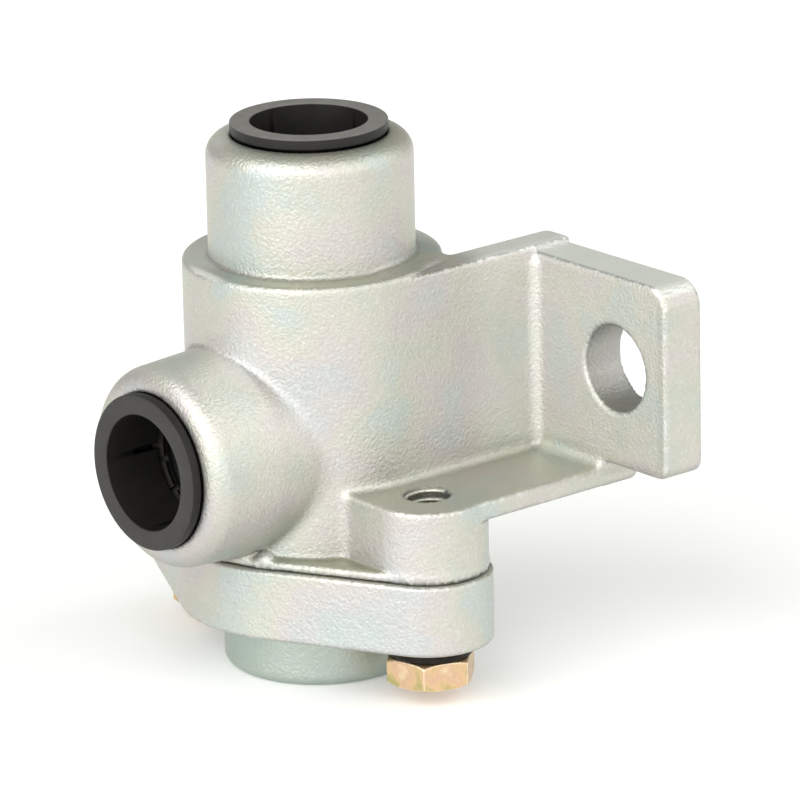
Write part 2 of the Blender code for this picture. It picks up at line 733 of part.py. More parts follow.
def port_cartridge(name, port):
    """All that a push-to-connect port holds, from its mouth inwards."""
    release_collet(name + "_release_collet", port)
    cartridge_sleeve(name + "_cartridge_sleeve", port)
    grab_ring(name + "_grab_ring", port)
    seal_spacer(name + "_seal_spacer", port)
    radius = CARTRIDGE_BORE - CLEAR - TUBE_SEAL_SECTION
    height = TUBE_SEAL_SECTION + CLEAR - CARTRIDGE_DEPTH
    seal_ring(name + "_tube_seal", radius, TUBE_SEAL_SECTION, height, port)


def lock_washer(name, centre):
    """A split spring washer: a square section spun not quite all the way round."""
    top = -CLEAR - CAP_FLANGE - SEAT_GAP
    low = top - WASHER_THICKNESS
    profile = [(WASHER_BORE, low), (WASHER_RADIUS, low), (WASHER_RADIUS, top), (WASHER_BORE, top)]
    washer = new_object(name, turned(profile, FINE_STEPS), centre, black_steel())
    half, tall = WASHER_GAP / 2, WASHER_THICKNESS * 2
    cut = cuboid((0.0, -half, -tall), (WASHER_RADIUS * 2, half, tall))
    cut.transform(Matrix.Translation((0.0, 0.0, (top + low) / 2)) @ Matrix.Rotation(WASHER_SLANT, 4, "X"))
    return combine(washer, "DIFFERENCE", new_object(name + "_split_cutter", cut, centre))


def cap_screw(name, centre):
    """A hexagon head screw, pointing up. The head is chamfered at both ends and the point at its tip."""
    seat = -CLEAR - CAP_FLANGE - 2 * SEAT_GAP - WASHER_THICKNESS
    bottom = seat - HEAD_HEIGHT
    corner = HEAD_FLATS / math.sqrt(3)
    turns = [HEAD_TURN + math.radians(30 + 60 * k) for k in range(6)]
    hexagon = [(corner * math.cos(a), corner * math.sin(a)) for a in turns]
    head = prism(hexagon, bottom - REACH, seat + REACH)
    screw = new_object(name, head, centre, yellow_zinc())
    flat = HEAD_FLATS / 2
    wide = corner + CLEAR
    drop = (wide - flat) * math.tan(HEAD_CHAMFER)
    blank = turned(
        [
            (0.0, bottom),
            (flat, bottom),
            (wide, bottom + drop),
            (wide, seat - drop),
            (flat, seat),
            (0.0, seat),
        ]
    )
    combine(screw, "INTERSECT", new_object(name + "_head_blank", blank, centre))
    tip = seat + SCREW_LENGTH
    shank = turned(
        [
            (0.0, seat - HEAD_HEIGHT / 2),
            (SCREW_RADIUS, seat - HEAD_HEIGHT / 2),
            (SCREW_RADIUS, tip - SCREW_POINT),
            (SCREW_RADIUS - SCREW_POINT, tip),
            (0.0, tip),
        ],
        FINE_STEPS // 2,
    )
    return combine(screw, "UNION", new_object(name + "_shank", shank, centre))


def main():
    clear_scene()
    axis = empty("valve_axis", (-PLATE_REACH, ORIGIN_REACH, -HOLE_HEIGHT))
    top_port = empty("top_port", (0.0, 0.0, NECK_TOP), parent=axis)
    side_port = empty("side_port", (-SIDE_PORT_REACH, 0.0, PORT_HEIGHT), (0.0, -math.pi / 2, 0.0), axis)
    valve_body(axis, side_port)
    end_cap(axis)
    ring_height = -CLEAR - CAP_SEAL_SECTION
    seal_ring("cap_seal_ring", GROOVE_RADIUS, CAP_SEAL_SECTION, ring_height, axis)
    shuttle_guide(axis)
    shuttle(axis)
    port_cartridge("top", top_port)
    port_cartridge("side", side_port)
    for name, side in (("front", -1), ("rear", 1)):
        centre = empty(name + "_screw_axis", (0.0, side * SCREW_REACH, 0.0), parent=axis)
        cap_screw(name + "_cap_screw", centre)
        lock_washer(name + "_lock_washer", centre)


main()
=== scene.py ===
"""The shuttle valve's looks: a blasted and plated casting, black release collets, plated screws and a studio.

Sizes are in millimetres about the valve's own axis, with z = 0 at the joint between body and cap, as on the
valve's drawing. Place turns them into the frame's metres.
"""

import logging
import math
from dataclasses import dataclass
from enum import Enum
from typing import ClassVar, Sequence

import bmesh
import bpy
import numpy as np
from mathutils import Matrix, Vector


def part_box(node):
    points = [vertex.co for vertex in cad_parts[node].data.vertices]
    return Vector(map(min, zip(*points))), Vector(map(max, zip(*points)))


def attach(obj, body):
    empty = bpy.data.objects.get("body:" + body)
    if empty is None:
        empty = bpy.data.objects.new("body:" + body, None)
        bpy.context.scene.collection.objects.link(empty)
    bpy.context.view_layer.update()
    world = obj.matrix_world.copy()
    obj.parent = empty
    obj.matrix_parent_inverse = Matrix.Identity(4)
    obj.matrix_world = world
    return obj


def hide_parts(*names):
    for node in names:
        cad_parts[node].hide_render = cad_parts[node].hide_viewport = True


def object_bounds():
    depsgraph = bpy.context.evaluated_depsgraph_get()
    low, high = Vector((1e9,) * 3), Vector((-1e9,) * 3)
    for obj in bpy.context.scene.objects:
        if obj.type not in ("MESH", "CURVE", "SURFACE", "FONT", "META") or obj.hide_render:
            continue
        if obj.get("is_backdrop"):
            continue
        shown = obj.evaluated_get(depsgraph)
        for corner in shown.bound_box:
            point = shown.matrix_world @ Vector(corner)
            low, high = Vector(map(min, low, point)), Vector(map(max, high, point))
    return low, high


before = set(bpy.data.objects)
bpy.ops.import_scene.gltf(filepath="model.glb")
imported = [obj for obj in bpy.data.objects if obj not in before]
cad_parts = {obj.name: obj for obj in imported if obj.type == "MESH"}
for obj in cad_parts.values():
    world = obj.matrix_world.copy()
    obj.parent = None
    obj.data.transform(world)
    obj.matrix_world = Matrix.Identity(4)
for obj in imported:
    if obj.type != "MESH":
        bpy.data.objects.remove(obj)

Number = float | np.ndarray
Pair = tuple[float, float]
Profile = list[Pair]

LOG = logging.getLogger("shuttle_valve")
MM = 0.001
TAU = 2 * math.pi
CREASE = math.radians(35)  # above this angle an edge stays sharp
CLEAR = 0.3  # between pieces that rest on each other
PAST = 8.0  # how far a form or a cutter runs past the face that ends it
OVERLAP = 2.0  # how far a form or a cutter runs into the one next to it
SCREW_REACH = 23.2  # from the valve's axis to each screw's
SCREW_RADIUS = 2.85
TAPPED_RADIUS = 3.15
SEAT_RADIUS = 7.4
PASSAGE_RADIUS = 6.3
MIDDLE = 0.5  # the middle of every noise
# Pale grey: specks in the grain, and edge wear that also paints a highlight.
PALE_GREY = (0.74, 0.74, 0.72)
# Painted shade that tones down the highlights on rounded edges and in fillets.
EDGE_AND_HOLLOW_SHADE = (0.37, 0.355, 0.34)
# Dark grey: the grain's pits, and the painted shade on faces that look down.
SHADED = (0.27, 0.28, 0.26)
# Near black: the mould's seam, and the painted shade inside bores and holes.
DARK = (0.06, 0.06, 0.055)


class Axis(Enum):
    """A direction that a bore runs in, by its coordinate's number."""

    X = 0
    Z = 2


class Body(Enum):
    """The bodies that the pieces made here ride on."""

    VALVE = "valve"
    TOP_COLLET = "top_collet"
    SIDE_COLLET = "side_collet"


class Slot(Enum):
    """The record's material slots."""

    CASTING = "casting"
    BLACK_PLASTIC = "black_plastic"
    YELLOW_ZINC = "yellow_zinc"
    BLACK_STEEL = "black_steel"
    RUBBER = "rubber"
    GUIDE_PLASTIC = "guide_plastic"
    ALUMINIUM = "aluminium"


class Value:
    """A number or colour that varies over a surface: an output socket with arithmetic."""

    def __init__(self, tree: "Tree", socket: bpy.types.NodeSocket) -> None:
        """Wraps a socket.

        Args:
            tree: The tree that holds the socket.
            socket: An output socket.
        """
        self.tree = tree
        self.socket = socket

    def _math(self, operation: str, *values: "Value | float") -> "Value":
        """Adds a Math node.

        Args:
            operation: The Math node's operation.
            values: Its inputs, in order.

        Returns:
            The node's result.
        """
        return self.tree.node("ShaderNodeMath", {"operation": operation}, dict(enumerate(values)))

    def __add__(self, other: "Value | float") -> "Value":
        """The sum."""
        return self._math("ADD", self, other)

    __radd__ = __add__

    def __sub__(self, other: "Value | float") -> "Value":
        """The difference."""
        return self._math("SUBTRACT", self, other)

    def __mul__(self, other: "Value | float") -> "Value":
        """The product."""
        return self._math("MULTIPLY", self, other)

    def __neg__(self) -> "Value":
        """The value with its sign turned."""
        return self * -1.0

    def swing(self, amount: float) -> "Value":
        """How far a noise lies from its middle, times an amount."""
        return (self - MIDDLE) * amount

    def spread(self, amount: float) -> "Value":
        """A noise with its swing made larger."""
        return self.swing(amount) + MIDDLE


class Tree:
    """A node tree, built by method calls."""

    def __init__(self, tree: bpy.types.NodeTree) -> None:
        """Takes over a node tree."""
        self.tree = tree

    def node(self, kind: str, settings: dict, inputs: dict, output: str | int = 0) -> Value:
        """Adds any node that has an output.

        Args:
            kind: The node's type.
            settings: Its properties, set first. The key "stops" fills a colour ramp.
            inputs: Values or links for its sockets, by name or number.
            output: The output that is wanted.

        Returns:
            That output.
        """
        made = self.tree.nodes.new(kind)
        for name, setting in settings.items():
            if name == "stops":
                self._fill_ramp(made, setting)
            else:
                setattr(made, name, setting)
        for name, value in inputs.items():
            if isinstance(value, Value):
                self.tree.links.new(value.socket, made.inputs[name])
            else:
                made.inputs[name].default_value = value
        return Value(self, made.outputs[output])

    def end(self, kind: str, name: str, value: Value) -> None:
        """Adds the tree's last node and links a value to its named input."""
        self.tree.links.new(value.socket, self.tree.nodes.new(kind).inputs[name])

    @staticmethod
    def _fill_ramp(made: bpy.types.Node, stops: Sequence[tuple[float, tuple]]) -> None:
        """Sets a colour ramp's stops.

        Args:
            made: The ramp's node.
            stops: Places from 0 to 1, each with its colour.
        """
        elements = made.color_ramp.elements
        while len(elements) > 1:
            elements.remove(elements[-1])
        elements[0].position, elements[0].color = stops[0][0], (*stops[0][1], 1.0)
        for position, colour in stops[1:]:
            elements.new(position).color = (*colour, 1.0)


@dataclass(frozen=True)
class Layer:
    """A colour over the one below it, where a mask or a smooth step of the mask over a span asks for it."""

    colour: tuple
    share: float = 1.0
    span: Pair | None = None


class Shader(Tree):
    """A material's node tree."""

    def __init__(self, name: str) -> None:
        """Makes an empty material.

        Args:
            name: The material's name.
        """
        self.material = bpy.data.materials.new(name)
        self.material.use_nodes = True
        super().__init__(self.material.node_tree)
        self.tree.nodes.clear()
        self.place = self.node("ShaderNodeTexCoord", {}, {}, "Object")

    def noise(self, size: float, detail: float = 2.0, shift: float = 0.0) -> Value:
        """Noise from 0 to 1.

        Args:
            size: The size of its blots, in millimetres.
            detail: How many finer layers it has.
            shift: Moves the pattern, so that two layers differ.

        Returns:
            The noise.
        """
        moved = {
            "Vector": self.place,
            "Scale": [1 / (MM * size)] * 3,
            "Location": (shift, shift * 2, shift * 3),
        }
        place = self.node("ShaderNodeMapping", {"vector_type": "POINT"}, moved)
        inputs = {"Vector": place, "Scale": 1.0, "Detail": detail, "Roughness": 0.55}
        return self.node("ShaderNodeTexNoise", {}, inputs, "Fac")

    def stored(self, name: str) -> Value:
        """A value that the mesh holds at each of its points."""
        return self.node("ShaderNodeAttribute", {"attribute_name": name}, {}, "Fac")

    def ramp(self, factor: Value, stops: Sequence[tuple[float, tuple]]) -> Value:
        """A colour ramp over a value."""
        return self.node("ShaderNodeValToRGB", {"stops": stops}, {"Fac": factor}, "Color")

    def step(self, factor: Value, low: float, high: float) -> Value:
        """A smooth step from 0 below low to 1 above high."""
        inputs = {"Value": factor, "From Min": low, "From Max": high}
        return self.node("ShaderNodeMapRange", {"interpolation_type": "SMOOTHSTEP"}, inputs, "Result")

    def mix(self, factor: Value | float, first: Value | tuple, second: Value | tuple) -> Value:
        """Mixes two colours.

        Args:
            factor: How much of the second.
            first: A colour.
            second: A colour.

        Returns:
            The mixed colour.
        """
        colours = [c if isinstance(c, Value) else (*c, 1.0) for c in (first, second)]
        inputs = {"Factor": factor, 6: colours[0], 7: colours[1]}
        return self.node("ShaderNodeMix", {"data_type": "RGBA", "blend_type": "MIX"}, inputs, 2)

    def lay(self, layer: Layer, below: Value | tuple, mask: Value) -> Value:
        """Lays a colour over another one.

        Args:
            layer: The colour, with its share.
            below: The colour below.
            mask: Where the layer lies.

        Returns:
            The new colour.
        """
        if layer.span:
            mask = self.step(mask, *layer.span)
        return self.mix(mask * layer.share, below, layer.colour)

    def bump(self, height: Value, distance: float, normal: Value | None = None) -> Value:
        """A bumped normal.

        Args:
            height: The height, from 0 to 1.
            distance: What a height of 1 stands for, in millimetres.
            normal: A normal that it adds to.

        Returns:
            The normal.
        """
        inputs = {"Height": height, "Distance": distance * MM, "Strength": 1.0}
        if normal:
            inputs["Normal"] = normal
        return self.node("ShaderNodeBump", {}, inputs, "Normal")

    def finish(self, **inputs: Value | float | tuple) -> bpy.types.Material:
        """Adds the Principled shader and the output.

        Args:
            inputs: The shader's sockets, with _ for a space.

        Returns:
            The material.
        """
        named = {name.replace("_", " "): value for name, value in inputs.items()}
        surface = self.node("ShaderNodeBsdfPrincipled", {}, named, "BSDF")
        self.end("ShaderNodeOutputMaterial", "Surface", surface)
        return self.material


@dataclass(frozen=True)
class Finish:
    """A finish that a piece can have."""

    name: str
    slot: Slot

    def build(self) -> bpy.types.Material:
        """Makes the material."""
        raise NotImplementedError

    def material(self) -> bpy.types.Material:
        """The finish's material, made the first time that it is wanted."""
        return bpy.data.materials.get(self.name) or self.build()


@dataclass(frozen=True)
class PlatedCasting(Finish):
    """A blasted casting under pale zinc plating that shows faint pastel colours."""

    name: str = "plated_casting"
    slot: Slot = Slot.CASTING
    silver: tuple = (0.505, 0.513, 0.49)
    pastels: tuple = (
        (0.0, (0.49, 0.57, 0.52)),
        (0.2, (0.49, 0.57, 0.55)),
        (0.38, (0.57, 0.57, 0.47)),
        (0.5, (0.62, 0.57, 0.50)),
        (0.64, (0.61, 0.53, 0.52)),
        (0.8, (0.54, 0.54, 0.56)),
        (1.0, (0.48, 0.56, 0.53)),
    )
    tint: float = 0.5
    tint_spread: float = 2.6
    drift_share: float = 0.65
    specks: Layer = Layer(PALE_GREY, 0.35, (0.52, 0.75))
    pits: Layer = Layer(SHADED, 0.16, (-0.45, -0.25))
    # Painted shade on rounded edges, against their highlights.
    edges: Layer = Layer(EDGE_AND_HOLLOW_SHADE, 0.3, (0.3, 1.0))
    # Edge wear on rounded edges, also a painted highlight along them.
    wear_and_glint: Layer = Layer(PALE_GREY, 0.45)
    wear_and_glint_ridge: Pair = (0.3, 0.8)
    wear_and_glint_grain: Pair = (0.5, 0.65)
    # Painted shade in fillets and hollows, against their highlights.
    hollow_shade: Layer = Layer(EDGE_AND_HOLLOW_SHADE, 0.75, (0.15, 0.8))
    hollow_swing: float = 0.4
    # Painted shade on faces that look up, and painted light where the stored value is below zero.
    painted_top_shade: Layer = Layer((0.36, 0.37, 0.29), 0.5)
    painted_light: Layer = Layer((0.97, 0.98, 0.95), 1.0, (0.0, 1.0))
    # Painted shade on faces that look down.
    under: Layer = Layer(SHADED, 0.5)
    # A blue tint on the boss, darkened with painted shade under the flange.
    blue_tint_and_shade: Layer = Layer((0.37, 0.46, 0.41), 0.65)
    seam: Layer = Layer(DARK, 0.55)
    seam_grain: Pair = (0.25, 0.5)
    # Painted shade inside bores and holes.
    bore_shade: Layer = Layer(DARK)
    metallic: float = 0.86
    roughness: float = 0.49
    fine_swing: float = 0.16
    wide_swing: float = 0.1
    grain: float = 0.44
    grain_height: float = 0.13
    fine_height: float = 0.8
    coarse_height: float = 0.25
    wave: float = 5.0
    wave_height: float = 0.09

    def build(self) -> bpy.types.Material:
        """Makes the material."""
        shader = Shader(self.name)
        drift = shader.noise(size=15.0, detail=1.0, shift=7.3)
        wander = shader.noise(size=6.5, shift=11.0)
        fine = shader.noise(size=self.grain, detail=1.0)
        coarse = shader.noise(size=self.grain * 2.2, detail=1.0, shift=5.0)
        speck = shader.noise(size=self.grain * 0.9, shift=21.0)
        place = (drift * self.drift_share + wander * (1 - self.drift_share)).spread(self.tint_spread)
        colour = shader.mix(self.tint, self.silver, shader.ramp(place, self.pastels))
        ridge, painted_shade_and_light = shader.stored("ridge"), shader.stored("painted_shade_and_light")
        wear_and_glint = shader.step(ridge, *self.wear_and_glint_ridge) * shader.step(coarse, *self.wear_and_glint_grain)
        layers = (
            (self.specks, speck),
            (self.pits, -speck),
            (self.edges, ridge),
            (self.wear_and_glint, wear_and_glint),
            (self.hollow_shade, -ridge + coarse.swing(self.hollow_swing)),
            # Painted shade on faces that look up, then painted light where that value is below zero.
            (self.painted_top_shade, painted_shade_and_light),
            (self.painted_light, -painted_shade_and_light),
            (self.under, shader.stored("under")),
            (self.blue_tint_and_shade, shader.stored("blue_tint_and_shade")),
            (self.seam, shader.stored("seam") * shader.step(coarse, *self.seam_grain)),
            (self.bore_shade, shader.stored("bore")),
        )
        for layer, mask in layers:
            colour = shader.lay(layer, colour, mask)
        waves = shader.bump(shader.noise(size=self.wave, detail=1.0, shift=8.0), self.wave_height)
        relief = fine * self.fine_height + coarse * self.coarse_height
        normal = shader.bump(relief, self.grain_height, waves)
        rough = self.roughness + fine.swing(self.fine_swing) + wander.swing(self.wide_swing)
        return shader.finish(Base_Color=colour, Metallic=self.metallic, Roughness=rough, Normal=normal)


@dataclass(frozen=True)
class MouldedPlastic(Finish):
    """Matte moulded plastic or rubber with a faint texture, and a paler colour painted where a sheen lies."""

    name: str = "moulded_black"
    slot: Slot = Slot.BLACK_PLASTIC
    colour: tuple = (0.01, 0.0092, 0.0085)
    # The colour of the painted sheen, where the mesh asks for it.
    painted_sheen: tuple = (0.232, 0.222, 0.213)
    roughness: float = 0.45
    specular: float = 0.22
    even_share: float = 0.7
    cloud_share: float = 0.6
    mottle: float = 0.03
    cloud_swing: float = 0.15
    fine_swing: float = 0.1
    cloud_height: float = 0.02
    fine_height: float = 0.008

    def build(self) -> bpy.types.Material:
        """Makes the material."""
        shader = Shader(self.name)
        cloud = shader.noise(size=2.2)
        fine = shader.noise(size=0.3, detail=1.0, shift=4.0)
        pale = shader.stored("painted_sheen") * (self.even_share + cloud * self.cloud_share) + cloud * self.mottle
        colour = shader.mix(pale, self.colour, self.painted_sheen)
        rough = self.roughness + cloud.swing(self.cloud_swing) + fine.swing(self.fine_swing)
        normal = shader.bump(fine, self.fine_height, shader.bump(cloud, self.cloud_height))
        return shader.finish(
            Base_Color=colour, Roughness=rough, Normal=normal, Specular_IOR_Level=self.specular
        )


@dataclass(frozen=True)
class YellowZinc(Finish):
    """Yellow passivated zinc plating, with pink and green patches."""

    name: str = "zinc_and_yellow_film"
    slot: Slot = Slot.YELLOW_ZINC
    films: tuple = (
        (0.05, (0.54, 0.46, 0.22)),
        (0.25, (0.42, 0.39, 0.16)),
        (0.42, (0.58, 0.44, 0.22)),
        (0.56, (0.7, 0.49, 0.29)),
        (0.72, (0.66, 0.43, 0.29)),
        (0.9, (0.76, 0.58, 0.37)),
    )
    film_spread: float = 2.0
    # Edge wear on the head's edges, also a painted highlight along them.
    wear_and_glint: Layer = Layer((0.95, 0.86, 0.7), 0.55, (0.2, 0.9))
    metallic: float = 0.9
    roughness: float = 0.32
    fine_swing: float = 0.2
    wide_swing: float = 0.15
    fine_height: float = 0.01

    def build(self) -> bpy.types.Material:
        """Makes the material."""
        shader = Shader(self.name)
        drift = shader.noise(size=3.4, shift=2.9)
        fine = shader.noise(size=0.25)
        colour = shader.ramp(drift.spread(self.film_spread), self.films)
        colour = shader.lay(self.wear_and_glint, colour, shader.stored("ridge"))
        rough = self.roughness + fine.swing(self.fine_swing) + drift.swing(self.wide_swing)
        normal = shader.bump(fine, self.fine_height)
        return shader.finish(Base_Color=colour, Metallic=self.metallic, Roughness=rough, Normal=normal)


@dataclass(frozen=True)
class Metal(Finish):
    """A plain machined or stamped metal with fine marks."""

    name: str = "turned_aluminium"
    slot: Slot = Slot.ALUMINIUM
    colour: tuple = (0.72, 0.72, 0.74)
    clouds: Layer = Layer((0.6, 0.6, 0.62), 1.0, (0.35, 0.7))
    roughness: float = 0.32
    metallic: float = 1.0
    fine_swing: float = 0.2
    fine_height: float = 0.004

    def build(self) -> bpy.types.Material:
        """Makes the material."""
        shader = Shader(self.name)
        fine = shader.noise(size=0.15, shift=6.0)
        colour = shader.lay(self.clouds, self.colour, shader.noise(size=1.6, detail=3.0))
        rough = self.roughness + fine.swing(self.fine_swing)
        normal = shader.bump(fine, self.fine_height)
        return shader.finish(Base_Color=colour, Metallic=self.metallic, Roughness=rough, Normal=normal)


CASTING = PlatedCasting()
BLACK_PLASTIC = MouldedPlastic()
GUIDE_PLASTIC = MouldedPlastic(
    "natural_acetal", Slot.GUIDE_PLASTIC, (0.72, 0.69, 0.6), (0.6, 0.56, 0.46), 0.45
)
RUBBER = MouldedPlastic("moulded_rubber", Slot.RUBBER, (0.015, 0.015, 0.015), (0.04, 0.04, 0.04), 0.6)
YELLOW_ZINC = YellowZinc()
BLACK_STEEL = Metal(
    "oxide_steel",
    Slot.BLACK_STEEL,
    (0.03, 0.026, 0.022),
    Layer((0.016, 0.014, 0.012), 1.0, (0.35, 0.7)),
    roughness=0.5,
    metallic=0.9,
)
ALUMINIUM = Metal()


@dataclass(frozen=True)
class Place:
    """Where the valve's own axis lies in the frame, in metres."""

    origin: Vector

    @classmethod
    def of_valve(cls) -> "Place":
        """Finds the axis from the top collet and the joint plane from the body."""
        low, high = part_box("top_release_collet")
        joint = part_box("valve_body")[0].z
        return cls(Vector(((low.x + high.x) / 2, (low.y + high.y) / 2, joint)))

    def metres(self, points: np.ndarray) -> np.ndarray:
        """Turns the drawing's millimetres into the frame's metres."""
        return points * MM + np.array(self.origin)

    def drawing(self, points: np.ndarray) -> np.ndarray:
        """Turns the frame's metres into the drawing's millimetres."""
        return (points - np.array(self.origin)) / MM


PLACE = Place.of_valve()


def paint(mesh: bpy.types.Mesh, finish: Finish) -> None:
    """Gives a mesh its one material."""
    mesh.materials.clear()
    mesh.materials.append(finish.material())


def dress(piece: bpy.types.Object, finish: Finish, body: Body, *nodes: str) -> bpy.types.Object:
    """Gives a piece its finish and its body.

    Args:
        piece: The piece, with its place in its mesh.
        finish: Its finish.
        body: The body that it rides on.
        nodes: The nodes that it stands for.

    Returns:
        The piece.
    """
    paint(piece.data, finish)
    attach(piece, body.value)
    if nodes:
        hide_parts(*nodes)
    LOG.info("%s: %d faces", piece.name, len(piece.data.polygons))
    return piece


def link(name: str, data: bpy.types.ID) -> bpy.types.Object:
    """Makes an object of a mesh, a light or a camera and puts it in the scene."""
    made = bpy.data.objects.new(name, data)
    bpy.context.scene.collection.objects.link(made)
    return made


def emptied(bm: bmesh.types.BMesh, name: str) -> bpy.types.Mesh:
    """Makes a mesh of a solid.

    Args:
        bm: The solid, which is used up.
        name: The mesh's name.

    Returns:
        The mesh.
    """
    mesh = bpy.data.meshes.new(name)
    bm.to_mesh(mesh)
    bm.free()
    return mesh


def baked(made: bpy.types.Object) -> bpy.types.Object:
    """Applies an object's modifiers.

    Args:
        made: An object with modifiers.

    Returns:
        The same object with a plain mesh.
    """
    graph = bpy.context.evaluated_depsgraph_get()
    mesh = bpy.data.meshes.new_from_object(made.evaluated_get(graph))
    made.modifiers.clear()
    old = made.data
    made.data = mesh
    bpy.data.meshes.remove(old)
    mesh.name = made.name
    return made


def arc(centre: Pair, radius: float, start: float, end: float, steps: int = 6) -> Profile:
    """Points along an arc.

    Args:
        centre: Its centre.
        radius: Its radius.
        start: The angle of its first point, in degrees.
        end: The angle of its last point, in degrees.
        steps: The number of its chords.

    Returns:
        The points.
    """
    angles = [math.radians(start + (end - start) * k / steps) for k in range(steps + 1)]
    return [(centre[0] + radius * math.cos(a), centre[1] + radius * math.sin(a)) for a in angles]


def turned(profile: Profile, steps: int) -> bmesh.types.BMesh:
    """Spins a closed outline of (radius, height) points about Z.

    Args:
        profile: The outline, in millimetres, off the axis.
        steps: The number of sides.

    Returns:
        The solid, in millimetres.
    """
    bm = bmesh.new()
    angles = [TAU * k / steps for k in range(steps)]
    rings = [[bm.verts.new((r * math.cos(a), r * math.sin(a), z)) for a in angles] for r, z in profile]
    for ring, after in zip(rings, rings[1:] + rings[:1]):
        for k in range(steps):
            j = (k + 1) % steps
            bm.faces.new((ring[k], ring[j], after[j], after[k]))
    return bm


def solid(name: str, bm: bmesh.types.BMesh, matrix: Matrix) -> bpy.types.Object:
    """Makes an object from a solid drawn in millimetres.

    Args:
        name: The object's name.
        bm: The solid, which is used up.
        matrix: Where it goes on the valve's drawing, in millimetres.

    Returns:
        The object, in the frame's metres.
    """
    bm.transform(matrix)
    bm.transform(Matrix.Translation(PLACE.origin) @ Matrix.Diagonal((MM, MM, MM, 1.0)))
    bmesh.ops.recalc_face_normals(bm, faces=bm.faces)
    mesh = emptied(bm, name)
    mesh.shade_smooth()
    mesh.set_sharp_from_angle(angle=CREASE)
    return link(name, mesh)


def carve(target: bpy.types.Object, tool: bpy.types.Object) -> None:
    """Cuts a tool from a target and removes the tool.

    Args:
        target: The object that is changed.
        tool: The object that is cut from it.
    """
    modifier = target.modifiers.new("cut", "BOOLEAN")
    modifier.operation = "DIFFERENCE"
    modifier.solver = "EXACT"
    modifier.object = tool
    baked(target)
    bpy.data.objects.remove(tool)


def store(mesh: bpy.types.Mesh, name: str, values: np.ndarray) -> None:
    """Keeps a value for each point of a mesh, for a shader to read."""
    mesh.attributes.new(name, "FLOAT", "POINT").data.foreach_set("value", values.astype(np.float32))


def cuboid(low: Sequence[float], high: Sequence[float]) -> bmesh.types.BMesh:
    """A box between two corners, in millimetres."""
    bm = bmesh.new()
    size = Vector(high) - Vector(low)
    middle = (Vector(high) + Vector(low)) / 2
    bmesh.ops.create_cube(bm, size=1.0, matrix=Matrix.Translation(middle) @ Matrix.Diagonal((*size, 1.0)))
    return bm


def slab(place: np.ndarray, span: Pair) -> np.ndarray:
    """Distance along a line to the stretch between two places."""
    low, high = span
    return np.abs(place - (low + high) / 2) - (high - low) / 2


def shared(first: np.ndarray, second: np.ndarray, edge: Number = 0.0) -> np.ndarray:
    """Distance to what two forms share, where their faces meet at right angles.

    Args:
        first: The distance to one form.
        second: The distance to the other.
        edge: The radius of the edge where they meet.

    Returns:
        The distance, below zero inside.
    """
    a, b = first + edge, second + edge
    return np.minimum(np.maximum(a, b), 0.0) + np.hypot(np.maximum(a, 0.0), np.maximum(b, 0.0)) - edge


def bar(
    points: np.ndarray,
    radius: Number,
    span: Pair,
    edge: float = 0.0,
    axis: Axis = Axis.Z,
    centre: Pair = (0.0, 0.0),
) -> np.ndarray:
    """Distance to a cylinder along a main direction.

    Args:
        points: Where the distance is wanted.
        radius: Its radius.
        span: Its two ends.
        edge: The radius of its edges.
        axis: Its direction.
        centre: Its centre in the other two coordinates.

    Returns:
        The distance.
    """
    across = [k for k in range(3) if k != axis.value]
    radial = np.hypot(points[:, across[0]] - centre[0], points[:, across[1]] - centre[1])
    return shared(radial - radius, slab(points[:, axis.value], span), edge)


def stadium(points: np.ndarray, radius: float) -> np.ndarray:
    """Distance in plan to the two screw columns with straight walls between them."""
    return np.hypot(points[:, 0], points[:, 1] - np.clip(points[:, 1], -SCREW_REACH, SCREW_REACH)) - radius


def hull(points: np.ndarray, middle: float, end: float) -> np.ndarray:
    """Distance in plan to a long flange: a round middle and two round ends, joined by tangents.

    Args:
        points: Where the distance is wanted.
        middle: The radius of the middle.
        end: The radius of the ends, which lie about the screws.

    Returns:
        The distance.
    """
    x, y = np.abs(points[:, 0]), np.abs(points[:, 1])
    lean = (middle - end) / SCREW_REACH
    rise = math.sqrt(1 - lean * lean)
    along = y * rise - x * lean
    wall = x * rise + y * lean - middle
    wall = np.where(along < 0, np.hypot(x, y) - middle, wall)
    return np.where(along > rise * SCREW_REACH, np.hypot(x, y - SCREW_REACH) - end, wall)


def join(first: np.ndarray, second: np.ndarray, fillet: Number) -> np.ndarray:
    """Joins two forms with a round fillet in the corner between them.

    Args:
        first: The distance to one form.
        second: The distance to the other.
        fillet: The fillet's radius, which may vary.

    Returns:
        The distance to both.
    """
    inner = np.hypot(np.maximum(fillet - first, 0.0), np.maximum(fillet - second, 0.0))
    return np.maximum(fillet, np.minimum(first, second)) - inner


def cut(form: np.ndarray, tool: np.ndarray, edge: float) -> np.ndarray:
    """Cuts a tool from a form and rounds the edges that this leaves.

    Args:
        form: The distance to the form.
        tool: The distance to the tool.
        edge: The radius of the edges.

    Returns:
        The distance to what is left.
    """
    outer = np.hypot(np.maximum(edge + form, 0.0), np.maximum(edge - tool, 0.0))
    return np.minimum(-edge, np.maximum(form, -tool)) + outer


def fade(value: np.ndarray, start: float, end: float) -> np.ndarray:
    """A smooth step from 0 at start to 1 at end, which may lie below start."""
    t = np.clip((value - start) / (end - start), 0.0, 1.0)
    return t * t * (3 - 2 * t)


@dataclass(frozen=True)
class Region:
    """A part of a casting that fades in along each axis from the span's first place to its second."""

    share: float
    x: Pair | None = None
    y: Pair | None = None
    z: Pair | None = None

    def strength(self, points: np.ndarray) -> np.ndarray:
        """The share at each point, which runs out to nothing beside the region."""
        found = np.full(len(points), self.share)
        for place, span in zip(points.T, (self.x, self.y, self.z)):
            if span:
                found *= fade(place, *span)
        return found


